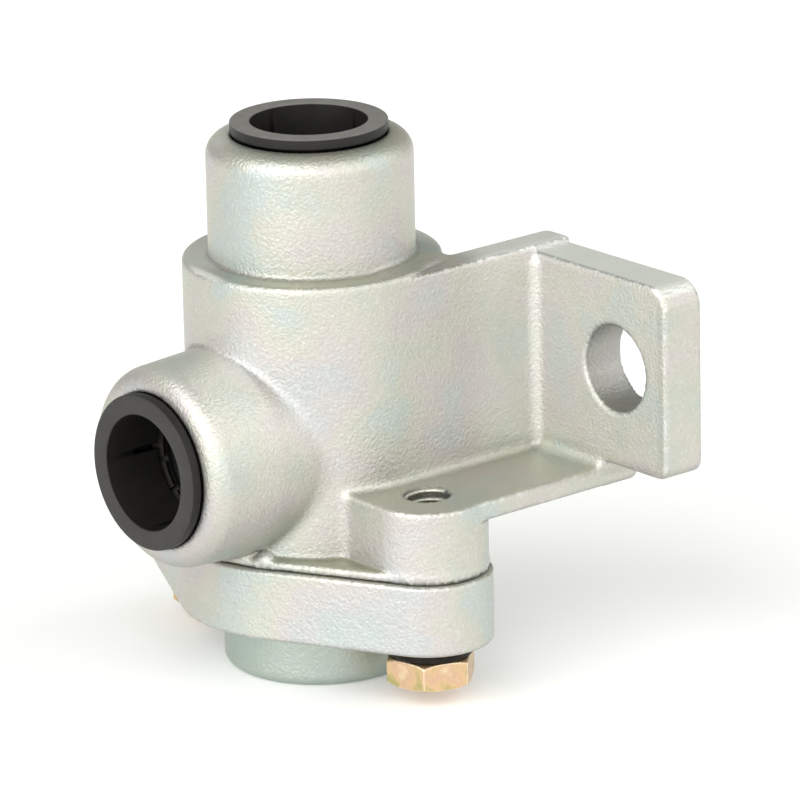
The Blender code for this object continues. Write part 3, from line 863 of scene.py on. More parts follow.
@dataclass
class SkinnedPiece:
    """A piece whose surface is where a distance is zero, with every edge and fillet rounded."""

    node: str
    voxel: float = 0.38
    rounds: int = 4
    settling: int = 3
    sharpest: float = 0.055
    probe: float = 0.01
    least_slope: float = 0.2
    least_length: float = 0.001
    longest_move: float = 0.5
    upward: Pair = (0.3, 1.0)
    # Where faces that look down get painted shade.
    downward: Pair = (-0.1, -0.9)

    def distance(self, points: np.ndarray) -> np.ndarray:
        """The distance to the piece, in millimetres, below zero inside."""
        raise NotImplementedError

    def bore_shade(self, points: np.ndarray) -> np.ndarray:
        """How much painted shade lies inside the bores, from 0 to 1."""
        return np.zeros(len(points))

    def painted_shading(self, points: np.ndarray, normals: np.ndarray) -> np.ndarray:
        """Painted shade, most on faces that look up: 1 is full painted shade, and below 0 is painted light.
        """
        return fade(normals[:, 2], *self.upward)

    def seamed(self, points: np.ndarray) -> np.ndarray:
        """How near the mould's seam is, from 0 to 1."""
        return np.zeros(len(points))

    def blue_tinted_and_shaded(self, points: np.ndarray) -> np.ndarray:
        """How blue the plating is, with painted shade, from 0 to 1."""
        return np.zeros(len(points))

    def build(self, name: str) -> bpy.types.Object:
        """Skins the piece.

        Args:
            name: The piece's name.

        Returns:
            The piece.
        """
        made = self._blank(name)
        mesh = made.data
        points = np.empty(len(mesh.vertices) * 3)
        mesh.vertices.foreach_get("co", points)
        points = PLACE.drawing(points.reshape(-1, 3))
        ends = np.empty(len(mesh.edges) * 2, np.int32)
        mesh.edges.foreach_get("vertices", ends)
        ends = ends.reshape(-1, 2)
        for _ in range(self.rounds):
            points = self._seated((points + self._middles(points, ends)) / 2)
        for _ in range(self.settling):
            points = self._seated(points)
        normals = self._slope(points)
        normals /= np.maximum(np.linalg.norm(normals, axis=1), self.least_length)[:, None]
        sunk = ((points - self._middles(points, ends)) * normals).sum(1)
        store(mesh, "ridge", np.clip(sunk / self.sharpest, -1.0, 1.0))
        # Painted shade on faces that look up, with painted light where it is below zero.
        store(mesh, "painted_shade_and_light", self.painted_shading(points, normals))
        # Painted shade on faces that look down.
        store(mesh, "under", fade(normals[:, 2], *self.downward))
        # Painted shade inside bores and holes.
        store(mesh, "bore", self.bore_shade(points))
        store(mesh, "seam", self.seamed(points))
        store(mesh, "blue_tint_and_shade", self.blue_tinted_and_shaded(points))
        mesh.vertices.foreach_set("co", PLACE.metres(points).ravel())
        mesh.update()
        mesh.shade_smooth()
        return made

    def _blank(self, name: str) -> bpy.types.Object:
        """A copy of the node with its points joined and an even net of faces."""
        bm = bmesh.new()
        bm.from_mesh(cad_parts[self.node].data)
        bmesh.ops.remove_doubles(bm, verts=bm.verts, dist=MM / 1000)
        made = link(name, emptied(bm, name))
        remesh = made.modifiers.new("even", "REMESH")
        remesh.mode = "VOXEL"
        remesh.voxel_size = self.voxel * MM
        return baked(made)

    @staticmethod
    def _middles(points: np.ndarray, ends: np.ndarray) -> np.ndarray:
        """The middle of each point's neighbours.

        Args:
            points: The points.
            ends: The two points of each edge.

        Returns:
            The middles.
        """
        near = np.bincount(ends.ravel(), minlength=len(points))
        middle = np.empty_like(points)
        for k in range(3):
            first = np.bincount(ends[:, 0], points[ends[:, 1], k], len(points))
            second = np.bincount(ends[:, 1], points[ends[:, 0], k], len(points))
            middle[:, k] = (first + second) / near
        return middle

    def _slope(self, points: np.ndarray) -> np.ndarray:
        """The distance's slope at each point."""
        gap = self.distance(points)
        slope = np.empty_like(points)
        for k in range(3):
            ahead = points.copy()
            ahead[:, k] += self.probe
            slope[:, k] = (self.distance(ahead) - gap) / self.probe
        return slope

    def _seated(self, points: np.ndarray) -> np.ndarray:
        """Moves each point onto the surface along the steepest way.

        Args:
            points: The points.

        Returns:
            The moved points.
        """
        slope = self._slope(points)
        steep = np.maximum((slope**2).sum(1), self.least_slope)
        move = -np.clip(self.distance(points), -self.longest_move, self.longest_move)
        return points + move[:, None] * slope / steep[:, None]


@dataclass
class ValveBody(SkinnedPiece):
    """The main casting: trunk, neck, side port, flange with screw columns, and the bracket."""

    node: str = "valve_body"
    voxel: float = 0.48
    sharpest: float = 0.085
    trunk_radius: float = 17.7
    shoulder: float = 39.4
    shoulder_round: float = 0.8
    neck_radius: float = 14.1
    neck_root: float = 20.0
    neck_top: float = 56.2
    neck_fillet: float = 0.5
    mouth_round: float = 2.8
    port_height: float = 14.6
    port_radius: float = 14.4
    port_taper: float = 0.4
    port_reach: float = 28.4
    port_fillet: float = 0.8
    flange_radius: float = 19.2
    flange_top: float = 1.3
    flange_fillet: float = 0.5
    column_radius: float = 8.2
    column_fillet: float = 1.2
    cast_edge: float = 0.6
    shelf_top: float = 10.2
    shelf_low: float = 7.4
    shelf_reach: float = 31.0
    shelf_fillet: float = 1.3
    shelf_fillet_y: Pair = (-16.4, -17.4)
    web_thickness: float = 4.9
    web_low: float = 8.8
    web_top: float = 38.9
    web_fillet: float = 1.5
    web_fillet_y: Pair = (-16.8, -15.0)
    plate_near: float = 24.6
    plate_face: float = 31.2
    plate_end: float = 44.0
    plate_top: float = 38.1
    plate_low: float = 11.1
    plate_corner: float = 3.5
    plate_low_corner: float = 2.0
    plate_foot: float = 6.0
    plate_fillet: float = 1.8
    plate_fillet_y: Pair = (-16.0, -17.0)
    plate_fillet_low: Pair = (8.8, 10.4)
    plate_fillet_top: Pair = (38.4, 36.4)
    face_edge: float = 0.5
    hole_reach: float = 33.8
    hole_height: float = 24.9
    hole_radius: float = 6.0
    chamber_radius: float = 12.2
    chamber_top: float = 28.8
    seat_low: float = 28.0
    socket_radius: float = 8.3
    bore_radius: float = 10.6
    bore_depth: float = 11.8
    top_socket_depth: float = 4.5
    side_socket_depth: float = 3.0
    side_passage_end: float = -9.0
    machined_edge: float = 0.18
    pip: Pair = (-16.4, -8.5)
    pip_radius: float = 1.35
    pip_height: float = 1.5
    pip_fillet: float = 0.3
    side_bore_end: float = -10.0
    bore_fade: Pair = (0.25, 0.05)
    hole_fade: Pair = (0.2, 0.05)
    # How much painted shade the tapped holes and the plate's hole get.
    tapped_dark: float = 0.75
    plate_hole_dark: float = 0.36
    # How much painted shade faces that look up get, and how much painted light the web's and plate's faces
    # get.
    top_shade_share: float = 0.85
    face_painted_light: float = 0.29
    seam_inset: float = 0.1
    seam_start: float = 3.0
    seam_push: float = 9.0
    seam_fade: Pair = (0.4, 0.12)

    def distance(self, points: np.ndarray) -> np.ndarray:
        """The distance to the casting, in millimetres, below zero inside."""
        fillet = self.web_fillet * fade(points[:, 1], *self.web_fillet_y)
        form = join(self._trunk(points), self._bracket(points), fillet)
        straight = self.port_reach - self.mouth_round - self.trunk_radius
        narrowed = self.port_taper * np.clip((-points[:, 0] - self.trunk_radius) / straight, 0.0, 1.0)
        radius, centre = self.port_radius - narrowed, (0.0, self.port_height)
        port = bar(points, radius, (-self.port_reach, 0.0), self.mouth_round, Axis.X, centre)
        form = join(join(form, port, self.port_fillet), self._pip(points), self.pip_fillet)
        form = np.maximum(form, -points[:, 2])
        for tool in self._tools(points):
            form = cut(form, tool, self.machined_edge)
        return form

    def bore_shade(self, points: np.ndarray) -> np.ndarray:
        """How much painted shade lies in the bores, the chamber, the tapped holes and the plate's hole, from
        0 to 1.
        """
        x, y, z = points.T
        radial = np.hypot(x, y)
        top = np.maximum(radial - self.bore_radius, -z)
        side = np.maximum(np.hypot(y, z - self.port_height) - self.bore_radius, x - self.side_bore_end)
        chamber = np.maximum(radial - self.chamber_radius, z - self.chamber_top)
        bores = fade(np.minimum(top, np.minimum(side, chamber)), *self.bore_fade)
        tapped = np.hypot(x, np.abs(y) - SCREW_REACH) - TAPPED_RADIUS
        plate = np.hypot(y + self.hole_reach, z - self.hole_height) - self.hole_radius
        worked = ((self.tapped_dark, tapped), (self.plate_hole_dark, plate))
        return np.max([bores, *(share * fade(gap, *self.hole_fade) for share, gap in worked)], axis=0)

    def painted_shading(self, points: np.ndarray, normals: np.ndarray) -> np.ndarray:
        """Painted shade and light: painted light on the bracket's top and on the web's and plate's faces, and
        the darkest painted shade on the flange.
        """
        share = self.top_shade_share + sum(region.strength(points) for region in self._regions())
        wall = self.trunk_radius
        # Painted light on the web's and the plate's front faces.
        faces = Region(
            self.face_painted_light,
            x=(8.0, wall),
            y=(1.5 - wall, 0.5 - wall),
            z=(self.shelf_top + 1.0, self.shelf_top + 3.0),
        ).strength(points)
        faces *= fade(points[:, 1], 0.5 - self.plate_end, 2.0 - self.plate_end)
        return super().painted_shading(points, normals) * share - faces

    def seamed(self, points: np.ndarray) -> np.ndarray:
        """How near the mould's seam is: it runs along the front top edges of the web and the plate."""
        x, y, z = points.T
        inset = self.seam_inset
        web = np.hypot(y + self.trunk_radius - inset, z - self.web_top + inset)
        web += self.seam_push * fade(x, self.seam_start, 0.0)
        plate = np.hypot(x - self.plate_near - inset, z - self.plate_top + inset)
        return fade(np.minimum(web, plate), *self.seam_fade)

    def _regions(self) -> tuple[Region, ...]:
        """Where faces that look up get more painted shade, and where a share below zero paints light instead.
        """
        wall, ring = self.trunk_radius, (self.shoulder - 1.0, self.shoulder - 0.5)
        # Painted shade on the flange's top and the shoulder; painted light on the port's top, the bracket's
        # top and the shoulder's back.
        flange = Region(1.1, z=(self.flange_top + 1.0, self.flange_top))
        port = Region(-1.3, x=(2.0 - wall, -wall))
        bracket = Region(-1.6, x=(3.0, wall + 2.0), z=(self.web_top - 3.0, self.web_top - 2.0))
        shoulder = Region(0.35, x=(wall, 3.0), z=ring)
        shoulder_back = Region(-1.7, x=(wall, 3.0), y=(-8.0, 6.0), z=ring)
        return flange, port, bracket, shoulder, shoulder_back

    def _trunk(self, points: np.ndarray) -> np.ndarray:
        """The turned body with its neck, the flange and the screw columns."""
        z = points[:, 2]
        form = bar(points, self.trunk_radius, (-PAST, self.shoulder), self.shoulder_round)
        neck = bar(points, self.neck_radius, (self.neck_root, self.neck_top), self.mouth_round)
        form = join(form, neck, self.neck_fillet)
        plan = stadium(points, self.column_radius)
        columns = shared(plan, slab(z, (-PAST, self.shelf_top)), self.cast_edge)
        form = join(form, columns, self.column_fillet)
        plan = hull(points, self.flange_radius, self.column_radius)
        flange = shared(plan, slab(z, (-PAST, self.flange_top)), self.cast_edge)
        return join(form, flange, self.flange_fillet)

    def _pip(self, points: np.ndarray) -> np.ndarray:
        """The small bump that the casting leaves on the flange, beside the port."""
        near = np.hypot(points[:, 0] - self.pip[0], points[:, 1] - self.pip[1]) / self.pip_radius
        rise = points[:, 2] - self.flange_top - self.pip_height * (1.0 - near**2)
        return np.maximum(rise / 2, hull(points, self.flange_radius, self.column_radius))

    def _bracket(self, points: np.ndarray) -> np.ndarray:
        """The shelf, the web and the mounting plate, with the fillets between them."""
        x, y, z = points.T
        end = self.plate_face + PAST
        run = slab(x, (0.0, end))
        back = self.web_thickness - self.trunk_radius
        middle = back - self.web_thickness / 2

        def wall(front: float, far: float, low: float, top: float, corner: Number) -> np.ndarray:
            """A rectangle across X with round corners."""
            return shared(slab(y, (front, far)), slab(z, (low, top)), corner)

        shelf = shared(wall(-self.shelf_reach, back, self.shelf_low, self.shelf_top, self.cast_edge), run)
        web = shared(wall(-self.trunk_radius, back, self.web_low, self.web_top, self.cast_edge), run)
        form = join(shelf, web, self.shelf_fillet * fade(y, *self.shelf_fillet_y))
        corner = np.where(z > self.hole_height, self.plate_corner, self.plate_low_corner)
        corner = np.where(y < -(self.plate_end + self.trunk_radius) / 2, corner, 0.0)
        plan = wall(-self.plate_end, middle, self.plate_low, self.plate_top, corner)
        foot = wall(-self.shelf_reach, middle, self.shelf_low, self.plate_low + self.plate_foot, 0.0)
        plan = join(plan, foot, self.plate_low - self.shelf_top)
        plate = shared(plan, slab(x, (self.plate_near, end)), self.cast_edge)
        inside = fade(z, *self.plate_fillet_low) * fade(z, *self.plate_fillet_top)
        inside *= fade(y, *self.plate_fillet_y)
        form = join(form, plate, self.plate_fillet * inside)
        return cut(form, self.plate_face - x, self.face_edge)

    def _tools(self, points: np.ndarray) -> list[np.ndarray]:
        """The chamber, the passages, the ports' bores and the holes, in the order in which they are cut."""
        chamber = bar(points, self.chamber_radius, (-PAST, self.chamber_top))
        seat = bar(points, SEAT_RADIUS, (self.seat_low, self.chamber_top + PAST))
        top, side = self.neck_top - self.bore_depth, self.bore_depth - self.port_reach
        upright = (
            (PASSAGE_RADIUS, self.seat_low - OVERLAP, top),
            (self.socket_radius, top - self.top_socket_depth, top + OVERLAP),
            (self.bore_radius, top, self.neck_top + PAST),
        )
        level = (
            (PASSAGE_RADIUS, side, self.side_passage_end),
            (self.socket_radius, side - OVERLAP, side + self.side_socket_depth),
            (self.bore_radius, -self.port_reach - PAST, side),
        )
        tools = [np.maximum(chamber, -seat)]
        tools += [bar(points, radius, (low, high)) for radius, low, high in upright]
        for radius, low, high in level:
            tools.append(bar(points, radius, (low, high), axis=Axis.X, centre=(0.0, self.port_height)))
        for y in (-SCREW_REACH, SCREW_REACH):
            tools.append(bar(points, TAPPED_RADIUS, (-PAST, self.shelf_top + PAST), centre=(0.0, y)))
        span, centre = (self.plate_near - PAST, self.plate_face + PAST), (-self.hole_reach, self.hole_height)
        return tools + [bar(points, self.hole_radius, span, axis=Axis.X, centre=centre)]


@dataclass
class EndCap(SkinnedPiece):
    """The cap: a long flange with the inlet boss below and the spigot with its seat above."""

    node: str = "end_cap"
    top: float = -0.14
    inner_low: float = -3.0
    flange_low: float = -10.15
    flange_radius: float = 19.5
    lobe_radius: float = 8.75
    boss_radius: float = 13.4
    boss_low: float = -18.7
    boss_round: float = 1.4
    boss_fillet: float = 0.5
    cast_edge: float = 0.5
    spigot_radius: float = 11.9
    spigot_top: float = 0.4
    seat_top: float = 1.2
    inlet_radius: float = 8.6
    inlet_taper: float = 0.4
    inlet_depth: float = 12.0
    groove_radius: float = 14.2
    groove_width: float = 2.0
    groove_depth: float = 1.7
    clearance_radius: float = 3.5
    edge: float = 0.2
    bore_fade: Pair = (0.2, 0.02)
    thread_rises: Pair = (1.0, 10.8)
    thread_pitch: float = 1.41
    thread_depth: float = 0.5
    thread_steps: int = 72

    def distance(self, points: np.ndarray) -> np.ndarray:
        """The distance to the casting, in millimetres, below zero inside."""
        z = points[:, 2]
        plan = hull(points, self.flange_radius, self.lobe_radius)
        flange = shared(plan, slab(z, (self.flange_low, PAST)), self.cast_edge)
        boss = bar(points, self.boss_radius, (self.boss_low, self.inner_low), self.boss_round)
        form = np.maximum(join(flange, boss, self.boss_fillet), z - self.top)
        for radius, top in ((self.spigot_radius, self.spigot_top), (SEAT_RADIUS, self.seat_top)):
            form = np.minimum(form, bar(points, radius, (self.inner_low, top)))
        inlet_top = self.boss_low + self.inlet_depth
        inlet = bar(points, self._inlet(z - self.boss_low), (self.boss_low - PAST, inlet_top))
        form = cut(form, inlet, self.edge)
        form = cut(form, bar(points, PASSAGE_RADIUS, (inlet_top - OVERLAP, PAST)), self.edge)
        radial = np.hypot(points[:, 0], points[:, 1]) - self.groove_radius
        groove = shared(np.abs(radial) - self.groove_width / 2, slab(z, (-CLEAR - self.groove_depth, PAST)))
        form = np.maximum(form, -groove)
        for y in (-SCREW_REACH, SCREW_REACH):
            hole = bar(points, self.clearance_radius, (self.flange_low - PAST, PAST), centre=(0.0, y))
            form = cut(form, hole, self.edge)
        return form

    def bore_shade(self, points: np.ndarray) -> np.ndarray:
        """How much painted shade lies in the passage through the cap, from 0 to 1."""
        return fade(np.hypot(points[:, 0], points[:, 1]) - PASSAGE_RADIUS, *self.bore_fade)

    def blue_tinted_and_shaded(self, points: np.ndarray) -> np.ndarray:
        """How blue the plating is, with painted shade: so it is on the boss, under the flange."""
        return fade(points[:, 2], self.flange_low, self.flange_low - 1.0)

    def _inlet(self, rise: Number) -> Number:
        """The tapered inlet's radius at a height above its mouth."""
        return self.inlet_radius - self.inlet_taper * np.clip(rise / self.inlet_depth, 0.0, 1.0)

    def thread(self) -> bpy.types.Object:
        """The pipe thread in the inlet."""
        low, high = self.thread_rises
        return Thread(
            "inlet_thread",
            CASTING,
            (0.0, 0.0),
            (self.boss_low + low, self.boss_low + high),
            (float(self._inlet(low)), float(self._inlet(high))),
            self.thread_pitch,
            self.thread_depth,
            self.thread_steps,
        ).build()


@dataclass
class PushPort:
    """A push-to-connect port's release collet. What lies behind it keeps its solid shape."""

    name: str
    matrix: Matrix
    body: Body
    bore: float = 8.0
    wall: float = 0.8
    flange_radius: float = 10.75
    flange_thickness: float = 1.5
    length: float = 7.0
    edge: float = 0.2
    bead: float = 0.5
    sleeve_lip: float = 1.6
    travel: float = 1.5
    slot_width: float = 0.8
    slot_length: float = 4.2
    # How strong the face's painted sheen is; the top collet's face looks up to the light.
    pale: float = 0.68
    rim_share: float = 0.03
    face_start: float = 0.02
    steps: int = 160

    def _profile(self) -> Profile:
        """The outline: the flange with its round edges, then the sleeve with its bead and its slim end."""
        outer, edge = self.bore + self.wall, self.edge
        top, rim = CLEAR + self.flange_thickness - edge, self.flange_radius - edge
        bead = -CLEAR - self.sleeve_lip - self.travel - CLEAR
        profile = arc((self.bore + edge, top), edge, 180, 90)
        profile += arc((rim, top), edge, 90, 0)
        profile += arc((rim, CLEAR + edge), edge, 0, -90)
        return profile + [
            (outer, CLEAR),
            (outer, bead),
            (outer + self.bead, bead - self.bead / 2),
            (outer + self.bead, bead - self.bead),
            (outer, bead - 2 * self.bead),
            (outer, self.wall / 2 - self.length),
            (outer - self.wall / 2, -self.length),
            (self.bore, -self.length),
        ]

    def collet(self) -> bpy.types.Object:
        """The black release ring with its slotted sleeve."""
        made = solid(f"{self.name}_collet_ring", turned(self._profile(), self.steps), self.matrix)
        reach, half = self.flange_radius, self.slot_width / 2
        low, high = -self.length - OVERLAP, self.slot_length - self.length
        for x, y in ((reach, half), (half, reach)):
            carve(made, solid("slot", cuboid((-x, -y, low), (x, y, high)), self.matrix))
        points = np.array([vertex.co for vertex in made.data.vertices])
        centre, along = np.array(self.matrix.translation), np.array(self.matrix.col[2].xyz)
        offset = PLACE.drawing(points) - centre
        height = offset @ along
        radial = np.linalg.norm(offset - height[:, None] * along, axis=1)
        # A painted sheen on the flange's face, and a trace of it on the rim.
        face = fade(CLEAR + self.flange_thickness - height, self.edge, self.face_start)
        inner = self.flange_radius - 2 * self.edge
        rim = fade(radial, inner, inner + self.edge) * self.rim_share
        store(made.data, "painted_sheen", self.pale * np.maximum(face, rim))
        return dress(made, BLACK_PLASTIC, self.body, f"{self.name}_release_collet")


@dataclass
class Thread:
    """A thread's ridge on a shank or on the wall of a tapped hole, along Z."""

    INPUTS: ClassVar[dict[str, str]] = {
        "Resolution": "Int",
        "Rotations": "Float",
        "Start Radius": "Float",
        "End Radius": "Float",
        "Height": "Float",
        "Depth": "Float",
        "Material": "Material",
    }

    name: str
    finish: Finish
    centre: Pair
    span: Pair
    radii: Pair
    pitch: float
    depth: float
    steps: int = 40

    @classmethod
    def _tree(cls) -> bpy.types.NodeTree:
        """The geometry tree of every thread: a pointed ridge wound along a helix, narrowing or plain."""
        found = bpy.data.node_groups.get("thread")
        if found:
            return found
        group = bpy.data.node_groups.new("thread", "GeometryNodeTree")
        for name, kind in cls.INPUTS.items():
            group.interface.new_socket(name, in_out="INPUT", socket_type=f"NodeSocket{kind}")
        group.interface.new_socket("Geometry", in_out="OUTPUT", socket_type="NodeSocketGeometry")
        tree = Tree(group)
        outputs = group.nodes.new("NodeGroupInput").outputs
        sizes = {name: Value(tree, outputs[name]) for name in cls.INPUTS}
        material, depth = sizes.pop("Material"), sizes.pop("Depth")
        helix = tree.node("GeometryNodeCurveSpiral", {}, sizes)
        upright = tree.node("GeometryNodeSetCurveNormal", {"mode": "Z_UP"}, {"Curve": helix})
        section = tree.node("GeometryNodeCurvePrimitiveCircle", {}, {"Resolution": 4, "Radius": depth})
        along = {"Curve": upright, "Profile Curve": section, "Fill Caps": True}
        swept = tree.node("GeometryNodeCurveToMesh", {}, along)
        real = tree.node("GeometryNodeRealizeInstances", {}, {"Geometry": swept})
        painted = tree.node("GeometryNodeSetMaterial", {}, {"Geometry": real, "Material": material})
        tree.end("NodeGroupOutput", "Geometry", painted)
        return group

    def build(self) -> bpy.types.Object:
        """Winds the ridge and puts it in its place."""
        made = link(self.name, bpy.data.meshes.new(self.name))
        grown = made.modifiers.new("thread", "NODES")
        grown.node_group = self._tree()
        low, high = self.span
        lengths = [length * MM for length in (*self.radii, high - low, self.depth)]
        values = (self.steps, (high - low) / self.pitch, *lengths, self.finish.material())
        for name, value in zip(self.INPUTS, values):
            grown[grown.node_group.interface.items_tree[name].identifier] = value
        baked(made)
        made.data.transform(Matrix.Translation(PLACE.metres(np.array((*self.centre, low)))))
        bm = bmesh.new()
        bm.from_mesh(made.data)
        bmesh.ops.recalc_face_normals(bm, faces=bm.faces)
        bm.to_mesh(made.data)
        bm.free()
        return dress(made, self.finish, Body.VALVE)


@dataclass
class CapScrew(SkinnedPiece):
    """A hexagon head screw that points up, with its threads and its split washer."""

    voxel: float = 0.17
    sharpest: float = 0.03
    name: str = "front"
    side: int = -1
    flats: float = 11.11
    head_height: float = 3.97
    turn: float = 11.6
    seat: float = -12.15
    seat_gap: float = 0.2
    chamfer: float = math.radians(30)
    length: float = 19.05
    edge: float = 0.16
    point: float = 0.6
    pitch: float = 1.27
    shank_thread: Pair = (-10.6, 6.2)
    shank_thread_depth: float = 0.25
    hole_thread: Pair = (7.3, 9.85)
    hole_thread_depth: float = 0.36
    washer_radius: float = 5.95
    washer_bore: float = 3.35
    washer_thickness: float = 1.6
    washer_edge: float = 0.2
    washer_steps: int = 96
    edge_steps: int = 3
    split: float = 0.8
    split_slant: float = math.radians(20)
    split_height: float = 6.0

    def distance(self, points: np.ndarray) -> np.ndarray:
        """The distance to the screw, in millimetres, below zero inside."""
        x, z = points[:, 0], points[:, 2]
        y = points[:, 1] - self.side * SCREW_REACH
        radial = np.hypot(x, y)
        bottom, tip = self.seat - self.head_height, self.seat + self.length
        turns = [math.radians(self.turn + 60 * k) for k in range(3)]
        plan = np.max([np.abs(x * math.cos(a) + y * math.sin(a)) for a in turns], axis=0) - self.flats / 2
        head = shared(plan, slab(z, (bottom, self.seat)), self.edge)
        past = (radial - self.flats / 2) * math.sin(self.chamfer)
        for rise in (z - bottom, self.seat - z):
            head = cut(head, rise * math.cos(self.chamfer) - past, self.edge)
        shank = shared(radial - SCREW_RADIUS, slab(z, (self.seat - OVERLAP, tip)))
        point = (radial - SCREW_RADIUS + z - tip + self.point) * math.sqrt(0.5)
        return np.minimum(head, np.maximum(shank, point))

    def screw(self) -> bpy.types.Object:
        """The screw: a chamfered head and the shank."""
        return dress(self.build(f"{self.name}_hex_screw"), YELLOW_ZINC, Body.VALVE, self.node)

    def threads(self) -> None:
        """The thread on the shank, and the one in the tapped hole above the screw's tip."""
        centre = (0.0, self.side * SCREW_REACH)
        for part, finish, span, radius, depth in (
            ("screw", YELLOW_ZINC, self.shank_thread, SCREW_RADIUS, self.shank_thread_depth),
            ("hole", CASTING, self.hole_thread, TAPPED_RADIUS, self.hole_thread_depth),
        ):
            name = f"{self.name}_{part}_thread"
            Thread(name, finish, centre, span, (radius, radius), self.pitch, depth).build()

    def washer(self) -> bpy.types.Object:
        """The split spring washer, its split cut on a slant."""
        edge, half = self.washer_edge, self.split / 2
        low = self.seat + self.seat_gap
        top = low + self.washer_thickness
        inner, outer = self.washer_bore + edge, self.washer_radius - edge
        corners = ((inner, low + edge), (outer, low + edge), (outer, top - edge), (inner, top - edge))
        profile = []
        for k, corner in enumerate(corners):
            profile += arc(corner, edge, 180 + 90 * k, 270 + 90 * k, self.edge_steps)
        place = Matrix.Translation((0.0, self.side * SCREW_REACH, 0.0))
        made = solid(f"{self.name}_split_washer", turned(profile, self.washer_steps), place)
        height = self.split_height / 2
        cutter = cuboid((0.0, -half, -height), (self.washer_radius * 2, half, height))
        slant = Matrix.Rotation(self.split_slant, 4, "X")
        cutter.transform(Matrix.Translation((0.0, 0.0, (top + low) / 2)) @ slant)
        carve(made, solid("split", cutter, place))
        return dress(made, BLACK_STEEL, Body.VALVE, f"{self.name}_lock_washer")


@dataclass(frozen=True)
class Sun:
    """A soft distant light: its direction and its spread in degrees, and its power."""

    name: str
    azimuth: float
    elevation: float
    spread: float
    power: float


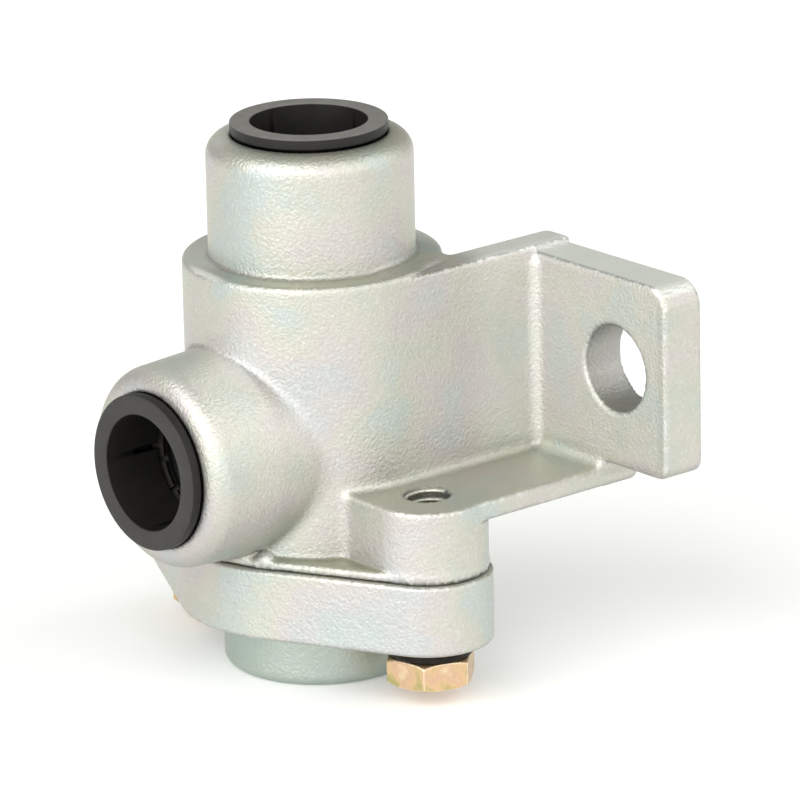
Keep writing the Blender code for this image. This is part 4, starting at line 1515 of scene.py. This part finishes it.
@dataclass
class Studio:
    """A pale floor, soft lights and the camera."""

    aim: tuple = (8.487, -7.794, 18.091)
    azimuth: float = -39.91
    elevation: float = 17.713
    roll: float = 1.225
    distance: float = 934.85
    lens: float = 308.1
    film: float = 36.0
    floor_drop: float = 0.02
    floor_size: float = 6.0
    floor_colour: tuple = (0.9, 0.9, 0.9, 1.0)
    floor_roughness: float = 0.8
    floor_glow: float = 0.15
    suns: tuple = (
        Sun("left_light", azimuth=-80.0, elevation=30.0, spread=65.0, power=2.6),
        Sun("front_light", azimuth=-16.0, elevation=28.0, spread=65.0, power=1.3),
        Sun("right_light", azimuth=48.0, elevation=30.0, spread=60.0, power=0.95),
    )
    sky_colour: tuple = (0.97, 1.0, 0.9, 1.0)
    sky_strength: float = 0.4

    def floor(self) -> None:
        """A wide pale floor just under the valve."""
        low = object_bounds()[0].z - self.floor_drop * MM
        bm = bmesh.new()
        place = Matrix.Translation((0, 0, low))
        bmesh.ops.create_grid(bm, x_segments=1, y_segments=1, size=self.floor_size, matrix=place)
        mesh = emptied(bm, "floor")
        material = Shader("floor").finish(
            Base_Color=self.floor_colour,
            Roughness=self.floor_roughness,
            Emission_Color=(1.0, 1.0, 1.0, 1.0),
            Emission_Strength=self.floor_glow,
        )
        mesh.materials.append(material)
        link("floor", mesh)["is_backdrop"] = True

    @staticmethod
    def _direction(azimuth: float, elevation: float) -> Vector:
        """The direction towards a place round the valve.

        Args:
            azimuth: 0 is in front, at -Y, and 90 is at +X, in degrees.
            elevation: The height above the horizon, in degrees.

        Returns:
            The direction.
        """
        a, e = math.radians(azimuth), math.radians(elevation)
        return Vector((math.sin(a) * math.cos(e), -math.cos(a) * math.cos(e), math.sin(e)))

    def lamps(self) -> None:
        """Soft lights round the valve and a pale sky."""
        for sun in self.suns:
            light = bpy.data.lights.new(sun.name, "SUN")
            light.angle = math.radians(sun.spread)
            light.energy = sun.power
            towards = self._direction(sun.azimuth, sun.elevation)
            link(sun.name, light).rotation_euler = towards.to_track_quat("Z", "Y").to_euler()
        world = bpy.data.worlds.new("studio")
        world.use_nodes = True
        background = world.node_tree.nodes["Background"]
        background.inputs["Color"].default_value = self.sky_colour
        background.inputs["Strength"].default_value = self.sky_strength
        bpy.context.scene.world = world
        bpy.context.scene.view_settings.view_transform = "Standard"

    def camera(self) -> None:
        """The camera at the photograph's angle."""
        back = self._direction(self.azimuth, self.elevation)
        turn, lean = math.radians(self.azimuth), math.radians(self.roll)
        right = Vector((math.cos(turn), math.sin(turn), 0.0))
        up = back.cross(right)
        right, up = math.cos(lean) * right - math.sin(lean) * up, math.sin(lean) * right + math.cos(lean) * up
        data = bpy.data.cameras.new("camera")
        data.lens = self.lens
        data.sensor_width = self.film
        place = PLACE.metres(np.array(Vector(self.aim) + back * self.distance))
        made = link("camera", data)
        made.matrix_world = Matrix.Translation(place) @ Matrix((right, up, back)).transposed().to_4x4()
        bpy.context.scene.camera = made


def interior() -> None:
    """Finishes for the inner pieces that keep their solid shape."""
    finishes = {
        "cap_seal_ring": RUBBER,
        "shuttle_guide": GUIDE_PLASTIC,
        "shuttle_core": ALUMINIUM,
        "shuttle_face_lower": RUBBER,
        "shuttle_face_upper": RUBBER,
    }
    for port in ("top", "side"):
        # Black sleeves, grab rings and spacers, partly painted shade that keeps the ports' bores dark.
        finishes[f"{port}_cartridge_sleeve"] = BLACK_PLASTIC
        finishes[f"{port}_grab_ring"] = BLACK_STEEL
        finishes[f"{port}_seal_spacer"] = BLACK_PLASTIC
        finishes[f"{port}_tube_seal"] = RUBBER
    for node, finish in finishes.items():
        paint(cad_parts[node].data, finish)


def main() -> None:
    """Builds every piece, then the studio."""
    logging.basicConfig(level=logging.INFO, format="%(name)s %(message)s")
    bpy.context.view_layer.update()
    body, cap = ValveBody(), EndCap()
    dress(body.build("cast_body"), CASTING, Body.VALVE, body.node)
    dress(cap.build("cast_cap"), CASTING, Body.VALVE, cap.node)
    cap.thread()
    top = Matrix.Translation((0.0, 0.0, body.neck_top))
    side = Matrix.Translation((-body.port_reach, 0.0, body.port_height))
    side = side @ Matrix.Rotation(-math.pi / 2, 4, "Y")
    PushPort("top", top, Body.TOP_COLLET).collet()
    # The side collet's face gets a weaker painted sheen than the top one's.
    PushPort("side", side, Body.SIDE_COLLET, pale=0.1).collet()
    for name, where in (("front", -1), ("rear", 1)):
        screw = CapScrew(f"{name}_cap_screw", name=name, side=where)
        screw.screw()
        screw.threads()
        screw.washer()
    interior()
    studio = Studio()
    studio.floor()
    studio.lamps()
    studio.camera()


if __name__ == "__main__":
    main()
